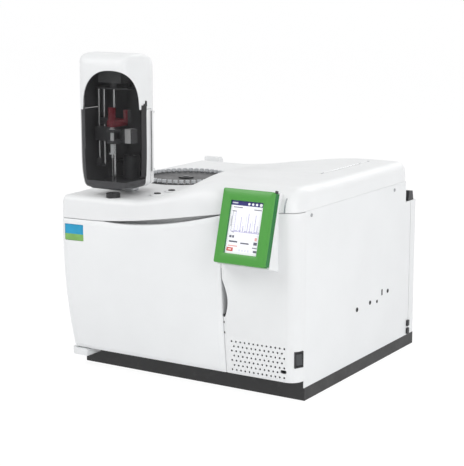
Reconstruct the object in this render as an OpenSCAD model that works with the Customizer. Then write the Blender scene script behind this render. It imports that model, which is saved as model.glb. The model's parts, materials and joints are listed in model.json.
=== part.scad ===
// Bench-top gas chromatograph with an autosampler tower and a vial carousel.
// Millimetres. X runs to the right along the front, Y to the back, Z up.
// The origin is the centre of the base's underside.

/* [Body] */
// Width over the side panels
body_w = 630; // [610:5:660]
// Depth of the base
body_d = 590; // [580:5:620]
// Height of the base tray
base_h = 45; // [42:1:50]
// Height of the ledge that the side panels stand on
ledge_z = 31; // [26:1:34]
// Height of the side panels' upper edge on the right
panel_top = 442; // [436:1:450]
// Sheet thickness of the outer panels
panel_t = 2; // [1.5:0.1:2.5]
// Wall of the moulded covers
wall = 3; // [2.5:0.1:3.5]
// Width of the seams between covers
seam = 2; // [1.5:0.1:2.5]

/* [Front] */
// How far the front stands before the base
front_reach = 41; // [36:1:46]
// Lower edge of the door and the column
skirt_z = 50; // [49:1:54]
// Bow of the front at the foot of its left edge
bow_foot = 6; // [3:1:9]
// Extra bow of the front at its fullest
bow_depth = 40; // [30:1:46]
// Height at which the front is fullest
bow_z = 365; // [345:5:375]
// Seam height at the left end of the front
seam_low = 382; // [378:1:388]
// Depth of the crescent finger gap above the door
crescent = 11; // [6:1:13]
// Radius of the right front corner
corner_r = 28; // [22:1:32]
// Radius of the left edges
edge_r = 9; // [7:1:12]
// Right edge of the door at its top
door_edge_x = 122; // [116:1:124]
// How far the door's right edge leans out at the foot
door_edge_lean = 8; // [5:1:9]

/* [Top] */
// Height of the left deck at the back
deck_z = 450; // [448:1:451]
// Fall of the deck towards the front
deck_fall = 15; // [12:1:17]
// Height of the right shoulder
shoulder_z = 491; // [488:1:496]
// Rear end of the top cover
rear_y = 248; // [244:1:252]
// Radius of the front brow on the left
brow_left = 15; // [12:1:18]
// Radius of the front brow on the right
brow_right = 56; // [48:1:60]

/* [Oven] */
// Inner width of the oven
cavity_w = 300; // [280:5:305]
// Inner depth of the oven
cavity_d = 300; // [292:1:304]
// Inner height of the oven
cavity_h = 268; // [255:1:270]
// Insulation round the oven
insulation_t = 41; // [38:1:42]
// Radius of the oven fan
fan_r = 78; // [70:1:84]
// Blades on the oven fan
fan_blades = 10; // [8:1:12]
// Radius of the wound column
coil_r = 84; // [74:1:90]
// Turns of the wound column
coil_turns = 6; // [4:1:7]

/* [Screen] */
// Width of the green bezel
bezel_w = 132; // [128:1:136]
// Length of the green bezel up its slope
bezel_h = 170; // [160:1:174]
// Thickness of the bezel
bezel_t = 17; // [14:1:19]
// Lean of the screen
screen_tilt = 15.8; // [13:0.2:18]

/* [Carousel] */
// Outer radius of the vial tray
tray_r = 118; // [116:1:119]
// Radius of the circle of vials
vial_ring_r = 107; // [106:0.5:108]
// Vials in the tray
vial_count = 44; // [30:1:46]
// Diameter of a vial
vial_d = 11.6; // [10:0.2:12]
// Height of a vial without its cap
vial_h = 31; // [28:1:32]
// Height of the vial caps' tops
cap_top_z = 453.5; // [452:0.5:454]

/* [Tower] */
// Width of the autosampler tower
tower_w = 145; // [142:1:150]
// Depth of the autosampler tower
tower_d = 157; // [154:1:160]
// Radius of the tower's front corners
tower_front_r = 32; // [26:1:40]
// Radius of the tower's rear corners
tower_rear_r = 58; // [50:1:60]
// Top of the tower
tower_top = 779; // [765:1:800]
// Lower rim of the smoked shell
shell_rim_z = 456; // [455.5:0.5:459]
// Needle to the right of the tower's centre
needle_dx = 21; // [18:1:25]
// Needle in front of the tower's centre
needle_dy = 57.5; // [54:0.5:58]
// Turn of the swing axis from straight behind the needle
axis_turn = 11; // [8:1:13]
// Travel of the syringe carriage
needle_travel = 40; // [30:1:42]
// Travel of the plunger
plunger_travel = 45; // [35:1:48]

/* [Grille] */
// Pitch of the grille's holes
hole_pitch = 11.4; // [10.5:0.1:12.5]
// Diameter of the grille's holes
hole_d = 5; // [4:0.2:6]
// Rows of holes
hole_rows = 7; // [5:1:7]

/* [Hidden] */
$fn = 48;

// Body
hw = body_w / 2;
hd = body_d / 2;
front_y = -hd - front_reach;
panel_front = -hd - wall;
panel_back = rear_y + 15;
step_y = rear_y - 15;
rear_top = panel_top - 55;
rear_out = hd - panel_t;
deck_plate_z = 401;
low = 372;
big = 900;
fit = 0.05;
touch = 0.3;

// Tower, swing and carousel
tower_x = -207;
tower_y = -286.5;
tower_front = tower_y - tower_d / 2;
needle_x = tower_x + needle_dx;
needle_y = tower_y - needle_dy;
// The swing axis is as far from the needle as from the nearest point of the vials' circle.
well_x = needle_x;
well_y = -30;
well_r = tray_r + 3.5;
needle_run = well_y - needle_y;
needle_reach = (pow(needle_run, 2) - pow(vial_ring_r,
    2)) / (2 * (vial_ring_r + needle_run * cos(axis_turn)));
axis_x = needle_x - needle_reach * sin(axis_turn);
axis_y = needle_y + needle_reach * cos(axis_turn);
// Turn of the circle on which the needle meets a vial
meet_turn = atan2(axis_y - well_y, axis_x - well_x);
injector_turns = [61, 93];
injector_xy = [for (t = injector_turns)
    [axis_x + needle_reach * sin(t + axis_turn), axis_y - needle_reach * cos(t + axis_turn)]];
post_r = 17;
hood_foot = shell_rim_z + 6;
floor_z = hood_foot + 2;
needle_tip = shell_rim_z + 11;

// Front and top surfaces
function clamp(v) = min(max(v, 0), 1);
function ease(u) = let (c = clamp(u)) c * c * (3 - 2 * c);
function lean(x) = (hw - x) / body_w;
function bow(z) = bow_foot + bow_depth * (1 - pow(abs(bow_z - z) / (bow_z - skirt_z), 2.2));
function front_at(x, z) = front_y - lean(x) * bow(z);
function seam_z(x) = seam_low + (panel_top - seam_low) * ease((x + 0.38 * body_w) / (0.88 * body_w));
function door_top(x) = seam_z(x) - seam - crescent * clamp(1 - pow((x + 35) / 165, 2));

// The deck on the left climbs to the shoulder on the right between rise_from and rise_to.
waist_y = -113;
function ramp(y, front_v, waist_v, rear_v) =
    let (k = y < waist_y ? (waist_y - y) / 227 : (y - waist_y) / 361)
    waist_v + ((y < waist_y ? front_v : rear_v) - waist_v) * pow(k, 2);
function rise_from(y) = ramp(y, -130, -95, -210);
function rise_to(y) = ramp(y, 150, 15, 230);
function deck_at(y) = deck_z - deck_fall * pow(clamp(-y / 380), 0.9);
function shoulder_at(y) = shoulder_z + 4 * ease((-80 - y) / 260);
function top_at(x, y) =
    deck_at(y) + (shoulder_at(y) - deck_at(y)) * ease((x - rise_from(y)) / (rise_to(y) - rise_from(y)));
function brow_at(x) = brow_left + (brow_right - brow_left) * ease((x + 100) / 240);

// Loft through rings of points that run clockwise seen from +X.
module loft(rings) {
    m = len(rings[0]);
    n = len(rings);
    polyhedron(
        points = [for (ring = rings) for (p = ring) p],
        faces = concat(
            [[for (j = [m - 1:-1:0]) j]],
            [[for (j = [0:m - 1]) (n - 1) * m + j]],
            [for (i = [0:n - 2]) for (j = [0:m - 1])
                let (a = i * m + j, b = i * m + (j + 1) % m, c = b + m, d = a + m)
                each [[a, b, c], [a, c, d]]]));
}

// Stations along X, each with the inset that rounds the ends.
function left_end(inset) =
    [for (a = [90:-22.5:0]) let (r = edge_r - inset) [-hw + inset + r * (1 - sin(a)),
        inset + r * (1 - cos(a))]];
function right_end(inset) =
    [for (a = [0:15:90]) let (r = corner_r - inset) [hw - inset - r * (1 - sin(a)),
        inset + r * (1 - cos(a))]];
function between(x0, x1, n, inset) = [for (i = [1:n]) [x0 + (x1 - x0) * i / (n + 1), inset]];
function stations(inset) =
    concat(left_end(inset), between(-hw + edge_r, hw - corner_r, 13, inset), right_end(inset));

front_rows = 3;
top_rows = 11;
rear_r = 18;
// Section of the body at x: front, brow, top and rear.
function body_ring(x, e, z0) =
    let (
        inner = e < wall ? 0 : wall,
        r = brow_at(x) - inner,
        z_top = top_at(x, front_y + brow_at(x)) - e,
        y0 = front_at(x, z_top - r) + e,
        y1 = rear_y - e,
        rr = rear_r - inner,
        z_rear = top_at(x, rear_y - rear_r) - e)
    concat(
        [[x, y1, z0]],
        [for (i = [0:front_rows]) let (z = z0 + (z_top - r - z0) * i / front_rows) [x, front_at(x,
            z) + e, z]],
        [for (a = [18:18:72]) [x, y0 + r * (1 - cos(a)), z_top - r * (1 - sin(a))]],
        [for (i = [0:top_rows]) let (y = y0 + r + (y1 - rr - y0 - r) * i / top_rows)
            [x, y, (i == 0 ? z_top : top_at(x, y) - e)]],
        [for (a = [30:30:60]) [x, y1 - rr * (1 - sin(a)), z_rear - rr * (1 - cos(a))]],
        [[x, y1, z_rear - rr]]);
module cover_form(inset, z0) {
    loft([for (s = stations(inset)) body_ring(s[0], s[1], z0)]);
}

// Section of the front alone, flat at the back and between two heights.
function front_ring(x, e, z0, z1, y_back, rows = 8) =
    concat(
        [[x, y_back, z0]],
        [for (i = [0:rows]) let (z = z0 + (z1 - z0) * i / rows) [x, front_at(x, z) + e, z]],
        [[x, y_back, z1]]);
module front_form(list, z0, z1, y_back) {
    loft([for (s = list) front_ring(s[0], s[1], z0, z1, y_back)]);
}

// A prism along Y from an outline drawn in X and Z, and one along X from an outline in Y and Z.
module along_y(y0, y1) {
    translate([0, y1, 0]) rotate([90, 0, 0]) linear_extrude(height = y1 - y0) children();
}
module along_x(x0, x1) {
    translate([x0, 0, 0]) rotate([90, 0, 90]) linear_extrude(height = x1 - x0) children();
}
module box(lo, hi) {
    translate(lo) cube(hi - lo);
}
module rod(p, r, h) {
    translate(p) cylinder(r = r, h = h);
}
module rod_y(p, r, h) {
    translate(p) rotate([-90, 0, 0]) cylinder(r = r, h = h);
}
module rod_x(p, r, h) {
    translate(p) rotate([0, 90, 0]) cylinder(r = r, h = h);
}
module round_rect(w, h, r) {
    square([w - 2 * r, h], center = true);
    square([w, h - 2 * r], center = true);
    for (sx = [-1, 1], sy = [-1, 1]) translate([sx * (w / 2 - r), sy * (h / 2 - r)]) circle(r = r);
}

// Base and frame ------------------------------------------------------------

module base_tray() {
    color("#1b1c1e") difference() {
        union() {
            box([-hw, -hd, 0], [hw, hd, ledge_z]);
            box([-hw + panel_t, -hd, 0], [hw - panel_t, rear_out - panel_t, base_h]);
        }
        box([-hw + 12, -hd + 12, 6], [hw - 12, rear_out - 14, base_h + 1]);
    }
}

bay_x = cavity_x() + cavity_w / 2 + insulation_t + 2;
function cavity_x() = -95;
frame_x = hw - panel_t;
floor_t = 3;
rail_top = deck_plate_z - 12;
module chassis() {
    color("#b9bcbf") {
        box([-frame_x, -hd + 1, base_h], [frame_x, rear_out - panel_t, base_h + floor_t]);
        for (s = [-1, 1], y = [panel_front + 4, step_y - 26])
            box([s > 0 ? frame_x - 18 : -frame_x, y, base_h + floor_t],
                [s > 0 ? frame_x : -frame_x + 18, y + 18, deck_plate_z - 30]);
        for (s = [-1, 1])
            box([s > 0 ? frame_x - 18 : -hw + wall + touch, panel_front + 4, deck_plate_z - 30],
                [s > 0 ? hw - wall - touch : -frame_x + 18, step_y - 8, rail_top]);
        box([bay_x, panel_front + 22, base_h + floor_t], [bay_x + 2, step_y - 8, deck_plate_z]);
        difference() {
            box([-frame_x + 18, panel_front + 22, deck_plate_z], [bay_x + 2, step_y - 8,
                deck_plate_z + 2]);
            for (p = injector_xy) rod([p[0], p[1], deck_plate_z - 1], injector_r + 2, 5);
            for (p = detector_xy) rod([p[0], p[1], deck_plate_z - 1], detector_r + 2, 5);
        }
        difference() {
            box([-frame_x + 18, step_y - 10, base_h + floor_t], [frame_x - 18, step_y - 8,
                deck_plate_z + 2]);
            along_y(step_y - 20, step_y) translate([duct_x, duct_z]) square([duct_w, duct_h],
                center = true);
        }
        box([-hw + wall + touch, panel_front + 22, rail_top], [-frame_x + 18, step_y - 8,
            deck_plate_z + 2]);
    }
}

module side_outline(top_front, top_back) {
    polygon([[panel_front, ledge_z], [panel_back, ledge_z], [panel_back, top_back],
        [step_y, top_back], [step_y, top_front], [panel_front, top_front]]);
}
screw_yz = [[panel_front + 27, panel_top - 12], [step_y - 70, panel_top - 14]];
port_yz = [[-35, 160], [36, 163], [75, 158], [136, 173]];
port_r = [4.5, 4, 3, 4];
module right_side_panel() {
    color("#e4e6e8") difference() {
        along_x(hw - panel_t, hw) side_outline(panel_top - touch, rear_top);
        for (i = [0:len(port_yz) - 1])
            rod_x([hw - panel_t - 1, port_yz[i][0], port_yz[i][1]], port_r[i], panel_t + 2);
        for (p = screw_yz) rod_x([hw - panel_t - 1, p[0], p[1]], 2.2, panel_t + 2);
        along_x(hw - panel_t - 1, hw + 1) translate([103, 176]) square([6, 15], center = true);
    }
}
left_screws = [[panel_front + 27, seam_low - 14], [step_y - 70, seam_low - 14]];
module left_side_panel() {
    color("#e4e6e8") difference() {
        along_x(-hw, -hw + panel_t) side_outline(seam_low, min(seam_low, rear_top) - 4);
        for (p = left_screws) rod_x([-hw - 1, p[0], p[1]], 2.2, panel_t + 2);
        for (i = [0:13]) box([-hw - 1, 60 + 11 * i, 120], [-hw + panel_t + 1, 65 + 11 * i, 190]);
    }
}
module panel_screws() {
    color("#55585c") {
        for (p = screw_yz) {
            rod_x([hw, p[0], p[1]], 4, 1.6);
            rod_x([hw - panel_t, p[0], p[1]], 2, panel_t);
        }
        for (p = left_screws) {
            rod_x([-hw - 1.6, p[0], p[1]], 4, 1.6);
            rod_x([-hw, p[0], p[1]], 2, panel_t);
        }
    }
}
module side_ports() {
    color("#2a2b2d") {
        for (i = [0:len(port_yz) - 1]) difference() {
            union() {
                rod_x([hw - panel_t, port_yz[i][0], port_yz[i][1]], port_r[i], panel_t);
                rod_x([hw, port_yz[i][0], port_yz[i][1]], port_r[i] + 1.2, 0.8);
            }
            rod_x([hw - panel_t - 1, port_yz[i][0], port_yz[i][1]], port_r[i] - 1.4, panel_t + 3);
        }
        along_x(hw - panel_t, hw + 0.6) translate([103, 176]) square([6, 15], center = true);
    }
}

duct_w = 58;
duct_h = 46;
duct_x = -205;
duct_z = 318;
inlet_x = 250;
inlet_z = 95;
fitting_x = [60, 90, 120, 150];
fitting_z = 330;
// Rear panel with side returns and a top ledge.
module rear_panel() {
    color("#d9dbdd") difference() {
        union() {
            box([-hw, rear_out - panel_t, ledge_z], [hw, rear_out, rear_top]);
            for (s = [-1, 1])
                box([s > 0 ? hw - panel_t : -hw, panel_back + 2, ledge_z],
                    [s > 0 ? hw : -hw + panel_t, rear_out, rear_top]);
            box([-hw + panel_t, rear_y + 0.5, rear_top - panel_t], [hw - panel_t, rear_out, rear_top]);
        }
        along_y(rear_out - 4, rear_out + 1) {
            translate([duct_x, duct_z]) square([duct_w, duct_h], center = true);
            translate([inlet_x, inlet_z]) square([30, 24], center = true);
            for (x = fitting_x) translate([x, fitting_z]) circle(r = 6);
            for (i = [0:11]) translate([165 + 11 * i, 215]) square([5, 70], center = true);
            for (i = [0:11]) translate([165 + 11 * i, 300]) square([5, 46], center = true);
        }
    }
}
module rear_clips() {
    color("#17181a") {
        along_x(hw - 16, hw - 2)
            polygon([[rear_y + 4, rear_top], [rear_y + 36, rear_top], [rear_y + 30, rear_top + 24],
                [rear_y + 10, rear_top + 26]]);
        for (z = [ledge_z + 3, ledge_z + 24]) box([hw, panel_back - 11, z], [hw + 5, panel_back, z + 15]);
    }
}

// Top cover ------------------------------------------------------------------

lid_x0 = -10;
lid_x1 = 223;
lid_y0 = -70;
lid_y1 = 205;
lid_axis_x = lid_x1 + 3;
lid_axis_z = shoulder_z - 0.2;
knuckle_r = 2.2;
slit_x = 283;
slit_z = 457;
slit_w = 4;
slit_h = 32;

module shell_form(z0) {
    difference() {
        cover_form(0, z0);
        cover_form(wall, z0 - 8);
    }
}
module lid_outline(gap) {
    translate([(lid_x0 + lid_x1) / 2, (lid_y0 + lid_y1) / 2])
        round_rect(lid_x1 - lid_x0 + 2 * gap, lid_y1 - lid_y0 + 2 * gap, 14 + gap);
}
module top_cover() {
    color("#eef0f1") difference() {
        union() {
            shell_form(low);
            intersection() {
                difference() {
                    rod([well_x, well_y, deck_plate_z + 2], well_r + 2.5, 90);
                    rod([well_x, well_y, deck_plate_z], well_r, 99);
                }
                cover_form(wall / 2, low);
            }
        }
        rod([well_x, well_y, deck_plate_z], well_r, 120);
        along_y(-big, step_y) polygon(concat(
            [[-hw - 9, 300]],
            [for (i = [0:26]) let (x = -hw - 9 + (2 * hw + 18) * i / 26) [x, seam_z(x)]],
            [[hw + 9, 300]]));
        box([-big, step_y - 1, 300], [big, big, rear_top + 1]);
        translate([0, 0, 430]) linear_extrude(height = 90) {
            lid_outline(1);
            translate([lid_x1 - 4, lid_y0 + 8]) square([lid_axis_x + 3 - lid_x1 + 4,
                lid_y1 - lid_y0 - 16]);
        }
        rod([axis_x, axis_y, 420], post_r + 1, 60);
        for (p = injector_xy) rod([p[0], p[1], 420], injector_cap_r + 0.6, 60);
        rod([needle_x, needle_y, 400], station_r + 0.6, 60);
        along_y(-420, -290) translate([slit_x, slit_z]) round_rect(slit_w, slit_h, slit_w / 2 - 0.01);
        screen_place() box([-2, 0, -bezel_h], [bezel_w + 5, bezel_t + touch, 9]);
    }
}
module detector_lid() {
    color("#eceeef") {
        intersection() {
            shell_form(low);
            translate([0, 0, 430]) linear_extrude(height = 90) lid_outline(0);
        }
        for (y = [lid_y0 + 20, lid_y1 - 60]) difference() {
            union() {
                rod_y([lid_axis_x, y, lid_axis_z], knuckle_r, 40);
                box([lid_x1 - 12, y, lid_axis_z - 3.6], [lid_axis_x, y + 40, lid_axis_z - 1]);
            }
            rod_y([lid_axis_x, y - 1, lid_axis_z], 1 + fit, 42);
        }
    }
}
cowl_w = 46;
module rear_cowl() {
    color("#d6d8da") {
        difference() {
            along_x(-hw + 4, -hw + 4 + cowl_w)
                polygon([[rear_y + 0.3, rear_top], [rear_y + 0.3, deck_z + 9], [rear_y + 16, deck_z + 9],
                    [rear_y + 24, deck_z + 2], [rear_y + 24, rear_top]]);
            for (i = [0:4]) box([-hw + 10 + 8 * i, rear_y + 6, rear_top + 14], [-hw + 13 + 8 * i,
                rear_y + 30, deck_z - 6]);
        }
    }
}
module hinge_pins() {
    color("#9a9da0") {
        // Door pins, upper and lower
        rod([hinge_x, hinge_y, hinge_low_z], pin_r, skirt_z + 16 - hinge_low_z);
        rod([hinge_x, hinge_y, door_pin_top - 20], pin_r, hinge_high_z - door_pin_top + 20);
        // Lid pin on its two end lugs
        rod_y([lid_axis_x, lid_y0 + 12, lid_axis_z], 1, lid_y1 - lid_y0 - 24);
        for (y = [lid_y0 + 12, lid_y1 - 17])
            box([lid_axis_x - 1.4, y, lid_axis_z - 4.6], [lid_axis_x + 3, y + 5, lid_axis_z + 1.3]);
        // Flap pin
        rod_x([duct_x - duct_w / 2 - 7, rear_out + flap_r, flap_z], 1.5, duct_w + 14);
        for (s = [-1, 1])
            box([duct_x + s * (duct_w / 2 + 6) - 1.5, rear_out, flap_z - 4],
                [duct_x + s * (duct_w / 2 + 6) + 1.5, rear_out + flap_r + 2.5, flap_z + 3]);
    }
}

// Column and screen ----------------------------------------------------------

function door_edge(z) = door_edge_x + door_edge_lean * clamp((300 - z) / 250);
col_x0 = door_edge_x + seam;
column_back = panel_front;
grille_x0 = 148;
grille_x1 = 306;
grille_z0 = skirt_z + 5;
grille_z1 = grille_z0 + hole_pitch * (hole_rows - 1) + 12;
scoop_top = 300;
scoop_foot = 186;
scoop_w = 20;
// Lens-shaped finger scoop beside the door's free edge.
module scoop_outline(grow) {
    n = 12;
    polygon(concat(
        [for (i = [0:n]) let (u = i / n, z = scoop_top + grow - (scoop_top - scoop_foot + 2 * grow) * u)
            [door_edge(z) + seam + grow + scoop_w * sin(150 * u), z]],
        [[col_x0 - 20, scoop_foot - grow], [col_x0 - 20, scoop_top + grow]]));
}
module column_outline(gap) {
    n = 10;
    polygon(concat(
        [for (i = [0:n]) let (z = skirt_z - 1 + (420 - skirt_z) * i / n) [door_edge(z) + seam, z]],
        [for (i = [0:n]) let (x = col_x0 + (hw + 5 - col_x0) * i / n) [x, seam_z(x) - seam]],
        [[hw + 5, skirt_z - 1]]));
}
function column_stations(inset) =
    concat([for (x = [col_x0 - 12:26:hw - corner_r - 8]) [x, inset]], right_end(inset));
module column_skin(z0, z1) {
    difference() {
        front_form(column_stations(0), z0, z1, column_back);
        front_form(concat([[col_x0 - 13, wall]], [for (s = column_stations(wall)) s]), z0 - 9,
            z1 + 9, column_back + 9);
    }
}
module front_column() {
    color("#e9ebec") difference() {
        intersection() {
            union() {
                column_skin(skirt_z, panel_top);
                along_y(front_y - 45, front_y + 22) scoop_outline(3);
                box([col_x0 - 1, front_y - 45, skirt_z], [col_x0 + 14, column_back - 10, skirt_z + 3]);
            }
            along_y(-big, big) column_outline();
            front_form(column_stations(0), skirt_z, panel_top, column_back);
        }
        along_y(front_y - 40, front_y + 16) scoop_outline(0);
        along_y(-big, column_back + 1) grille_outline(0.3);
        along_y(-big, front_y + 12) port_outline(0.2);
        switch_place() box([-20, -switch_w / 2 - 0.2, -switch_h / 2 - 0.2], [8, switch_w / 2 + 0.2,
            switch_h / 2 + 0.2]);
    }
}
module grille_outline(grow) {
    translate([(grille_x0 + grille_x1) / 2 - 9, (grille_z0 + grille_z1) / 2])
        round_rect(grille_x1 - grille_x0 - 18 + 2 * grow, grille_z1 - grille_z0 + 2 * grow, 6);
}
module grille_holes() {
    for (row = [0:hole_rows - 1])
        for (i = [0:floor((grille_x1 - grille_x0 - 24 - (row % 2) * hole_pitch / 2) / hole_pitch)])
            translate([grille_x0 + 3 + hole_pitch / 2 * (1 + row % 2) + i * hole_pitch,
                grille_z0 + 6 + row * hole_pitch])
                circle(r = hole_d / 2);
}
module intake_grille() {
    color("#e9ebec") difference() {
        intersection() {
            column_skin(skirt_z, 170);
            along_y(-big, column_back) grille_outline(0);
        }
        along_y(-big, column_back + 1) grille_holes();
        along_y(-big, front_y + 12) port_outline(0.2);
    }
}
port_x = 284;
port_z = 75;
module port_outline(grow) {
    translate([port_x, port_z]) round_rect(15 + 2 * grow, 8 + 2 * grow, 3.9 + grow);
}
module front_port() {
    color("#101113") difference() {
        along_y(front_y - 1.2, front_y + 12) port_outline(0);
        along_y(front_y - 2, front_y + 8) translate([port_x, port_z]) round_rect(9, 3.6, 1.7);
    }
}
module status_light() {
    color("#9fb0b6") intersection() {
        shell_form(low);
        along_y(-420, -290) translate([slit_x, slit_z]) round_rect(slit_w - 0.3, slit_h - 0.3,
            slit_w / 2 - 0.2);
    }
}

switch_w = 24;
switch_h = 38;
switch_turn = -24;
switch_z = 104;
// The switch looks out of the rounded corner; local X points outwards.
module switch_place() {
    translate([hw - corner_r, front_y + corner_r, switch_z]) rotate([0, 0, switch_turn])
        translate([corner_r, 0, 0]) children();
}
module power_switch_frame() {
    color("#141517") switch_place() difference() {
        box([-14, -switch_w / 2, -switch_h / 2], [2.4, switch_w / 2, switch_h / 2]);
        box([-11, -switch_w / 2 + 3.4, -switch_h / 2 + 4], [3, switch_w / 2 - 3.4, switch_h / 2 - 4]);
        rod_y([-4, -rocker_w / 2 - 1.8, 0], trunnion_r + fit, rocker_w + 3.6);
    }
}
rocker_w = switch_w - 7.6;
rocker_h = switch_h - 12;
trunnion_r = 1.5;
module power_rocker() {
    color("#6d7175") switch_place() intersection() {
        translate([0, rocker_w / 2, 0]) rotate([90, 0, 0]) linear_extrude(height = rocker_w)
            polygon([[-8, -4], [-2.6, -rocker_h / 2], [3.4, -rocker_h / 2], [1.2, 0],
                [1.4, rocker_h / 2], [-2.6, rocker_h / 2], [-8, 4]]);
        box([-9, -rocker_w / 2, -rocker_h / 2], [9, rocker_w / 2, rocker_h / 2]);
    }
    color("#6d7175") switch_place() rod_y([-4, -rocker_w / 2 - 1.6, 0], trunnion_r, rocker_w + 3.2);
}

bezel_x = 133;
bezel_top_y = -352;
bezel_top_z = 489;
window_w = 80.5;
window_h = 120;
window_x = 23.4;
window_drop = 26.5;
// The screen's own frame: X across, Z up its face and Y into it, from the upper left corner.
module screen_place() {
    translate([bezel_x, bezel_top_y, bezel_top_z]) rotate([-screen_tilt, 0, 0]) children();
}
module screen_pod() {
    color("#eceeef") difference() {
        screen_place() difference() {
            box([-3, bezel_t + 0.1, -bezel_h - 2], [bezel_w + 5, bezel_t + 90, 0]);
            translate([-9, bezel_t + 90, 6]) rotate([34, 0, 0]) cube([bezel_w + 30, 90, 60]);
        }
        loft([for (x = [bezel_x - 14:20:bezel_x + bezel_w + 26]) body_ring(x, -0.2, 280)]);
        screen_place() box([12, bezel_t - 1, -bezel_h + 14], [bezel_w - 12, bezel_t + 12, -14]);
    }
}
module bezel_plate(inset) {
    translate([bezel_w / 2, 0, -bezel_h / 2]) rotate([-90, 0, 0])
        linear_extrude(height = bezel_t) round_rect(bezel_w - 2 * inset, bezel_h - 2 * inset, 6);
}
stylus_r = 2.6;
module screen_bezel() {
    color("#5aa63f") screen_place() difference() {
        union() {
            bezel_plate(0);
            box([bezel_w - 8, 5, -bezel_h + 8], [bezel_w + 4, bezel_t, -6]);
        }
        translate([window_x, -1, -window_drop - window_h]) cube([window_w, 8, window_h]);
        translate([window_x - 3, 6, -window_drop - window_h - 3]) cube([window_w + 6, bezel_t,
            window_h + 6]);
        rod([bezel_w + 0.6, 10.5, -bezel_h + 20], stylus_r + 0.3, bezel_h);
        rod([bezel_w + 0.6, 10.5, -4.3], 4, 9);
    }
}
module lcd_module() {
    color("#2b3a55") screen_place()
        translate([window_x - 2.8, 6.2, -window_drop - window_h - 2.8])
            cube([window_w + 5.6, bezel_t - 6.2, window_h + 5.6]);
}
module stylus() {
    color("#161719") screen_place() {
        rod([bezel_w + 0.6, 10.5, -bezel_h + 20.2], stylus_r, bezel_h - 24);
        rod([bezel_w + 0.6, 10.5, -4], 3.6, 8);
    }
}

// Oven door ------------------------------------------------------------------

hinge_x = -hw + 15;
hinge_y = front_y + 6;
pin_r = 4;
hinge_low_z = ledge_z - 1;
lug_top = skirt_z - 2;
door_back = panel_front - 6;
door_pin_top = seam_low - 14;
hinge_high_z = deck_plate_z + 3;
function door_stations(inset) = concat(
    [for (a = [90:-22.5:0]) let (r = edge_r - min(inset,
        edge_r - 4)) [-hw + inset + r * (1 - sin(a)), inset + r * (1 - cos(a))]],
    [for (x = [-hw + edge_r + 30:34:door_edge_x + 20]) [x, inset]]);
module door_form(inset, z0, z1, y_back) {
    front_form(door_stations(inset), z0, z1, y_back);
}
module door_outline(inset) {
    n = 22;
    polygon(concat(
        [[-hw - 9, skirt_z + inset]],
        [for (i = [0:n]) let (x = -hw - 9 + (door_edge_x - inset + hw + 9) * i / n) [x,
            door_top(x) - inset]],
        [for (i = [1:8]) let (z = door_top(door_edge_x) - inset - (door_top(door_edge_x)
            - skirt_z - 2 * inset) * i / 8)
            [door_edge(z) - inset, z]]));
}
module door_panel() {
    color("#e9ebec") difference() {
        intersection() {
            door_form(0, skirt_z, panel_top, door_back);
            along_y(-big, big) door_outline(0);
        }
        intersection() {
            door_form(wall, skirt_z - 5, panel_top, door_back + 8);
            along_y(-big, big) door_outline(wall);
        }
        rod([hinge_x, hinge_y, skirt_z - 3], pin_r + fit, 30);
        rod([hinge_x, hinge_y, door_pin_top - 30], pin_r + fit, 60);
        along_y(-big, front_y - 20) badge_outline(0.4);
    }
}
liner_x0 = -hw + 34;
liner_x1 = door_edge_x - 8;
liner_z0 = skirt_z + wall + 2;
liner_z1 = seam_low - crescent - 10;
module door_liner() {
    color("#c3c6c9") {
        difference() {
            box([liner_x0, door_back - 1.5, liner_z0], [liner_x1, door_back, liner_z1]);
            for (z = [liner_z0 + 8, liner_z1 - 8]) for (x = [liner_x0 + 8, liner_x1 - 8])
                rod_y([x, door_back - 3, z], 1.8, 5);
            box([door_edge_x - 21, door_back - 3, latch_z - 7], [door_edge_x - 13, door_back + 1,
                latch_z + 7]);
        }
        for (z = [liner_z0, liner_z1 - 2]) box([liner_x0, door_back - 16, z], [liner_x1,
            door_back - 1.5, z + 2]);
        // Hinge sleeves carried on the liner's edge
        for (z = [skirt_z + wall, door_pin_top - 24]) difference() {
            union() {
                rod([hinge_x, hinge_y, z], pin_r + 3, 24);
                box([hinge_x, hinge_y - 3, z], [liner_x0 + 4, hinge_y + 3, z + 24]);
                box([liner_x0 + 2, hinge_y - 3, z], [liner_x0 + 4, door_back - 1.5, z + 24]);
            }
            rod([hinge_x, hinge_y, z - 1], pin_r + fit, 26);
        }
    }
}
module door_insulation() {
    color("#d9cfae") box([liner_x0 + 6, door_back - 15.7, liner_z0 + 2.3], [liner_x1 - 16,
        door_back - 1.8, liner_z1 - 2.3]);
}
gasket_gap = 14;
module door_gasket() {
    color("#8c8f92") along_y(door_back + 0.2, panel_front - 0.4) translate([cavity_x(),
        cavity_z0() + cavity_h / 2])
        difference() {
            round_rect(cavity_w + 2 * gasket_gap, cavity_h + 2 * gasket_gap, 18);
            round_rect(cavity_w + 2 * gasket_gap - 16, cavity_h + 2 * gasket_gap - 16, 10);
        }
}
latch_z = 172;
module door_latch() {
    color("#3a3c3f") {
        box([door_edge_x - 24, door_back - 14, latch_z - 14], [door_edge_x - 10, door_back - 1.6,
            latch_z + 14]);
        along_x(door_edge_x - 20, door_edge_x - 14)
            polygon([[door_back - 2, latch_z - 6], [door_back + 5, latch_z - 4], [door_back + 5,
                latch_z + 2],
                [door_back - 2, latch_z + 6]]);
    }
}
badge_x = -hw + 37;
badge_z = 348;
badge_w = 54;
badge_h = 40;
module badge_outline(grow) {
    translate([badge_x, badge_z]) round_rect(badge_w + 2 * grow, badge_h + 2 * grow, 2);
}
module badge_plate() {
    color("#3f9fc9") difference() {
        intersection() {
            door_form(-0.6, badge_z - 40, badge_z + 40, front_y);
            along_y(-big, front_y - 10) badge_outline(0);
        }
        door_form(wall - 0.8, badge_z - 50, badge_z + 50, front_y + 9);
    }
}
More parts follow.
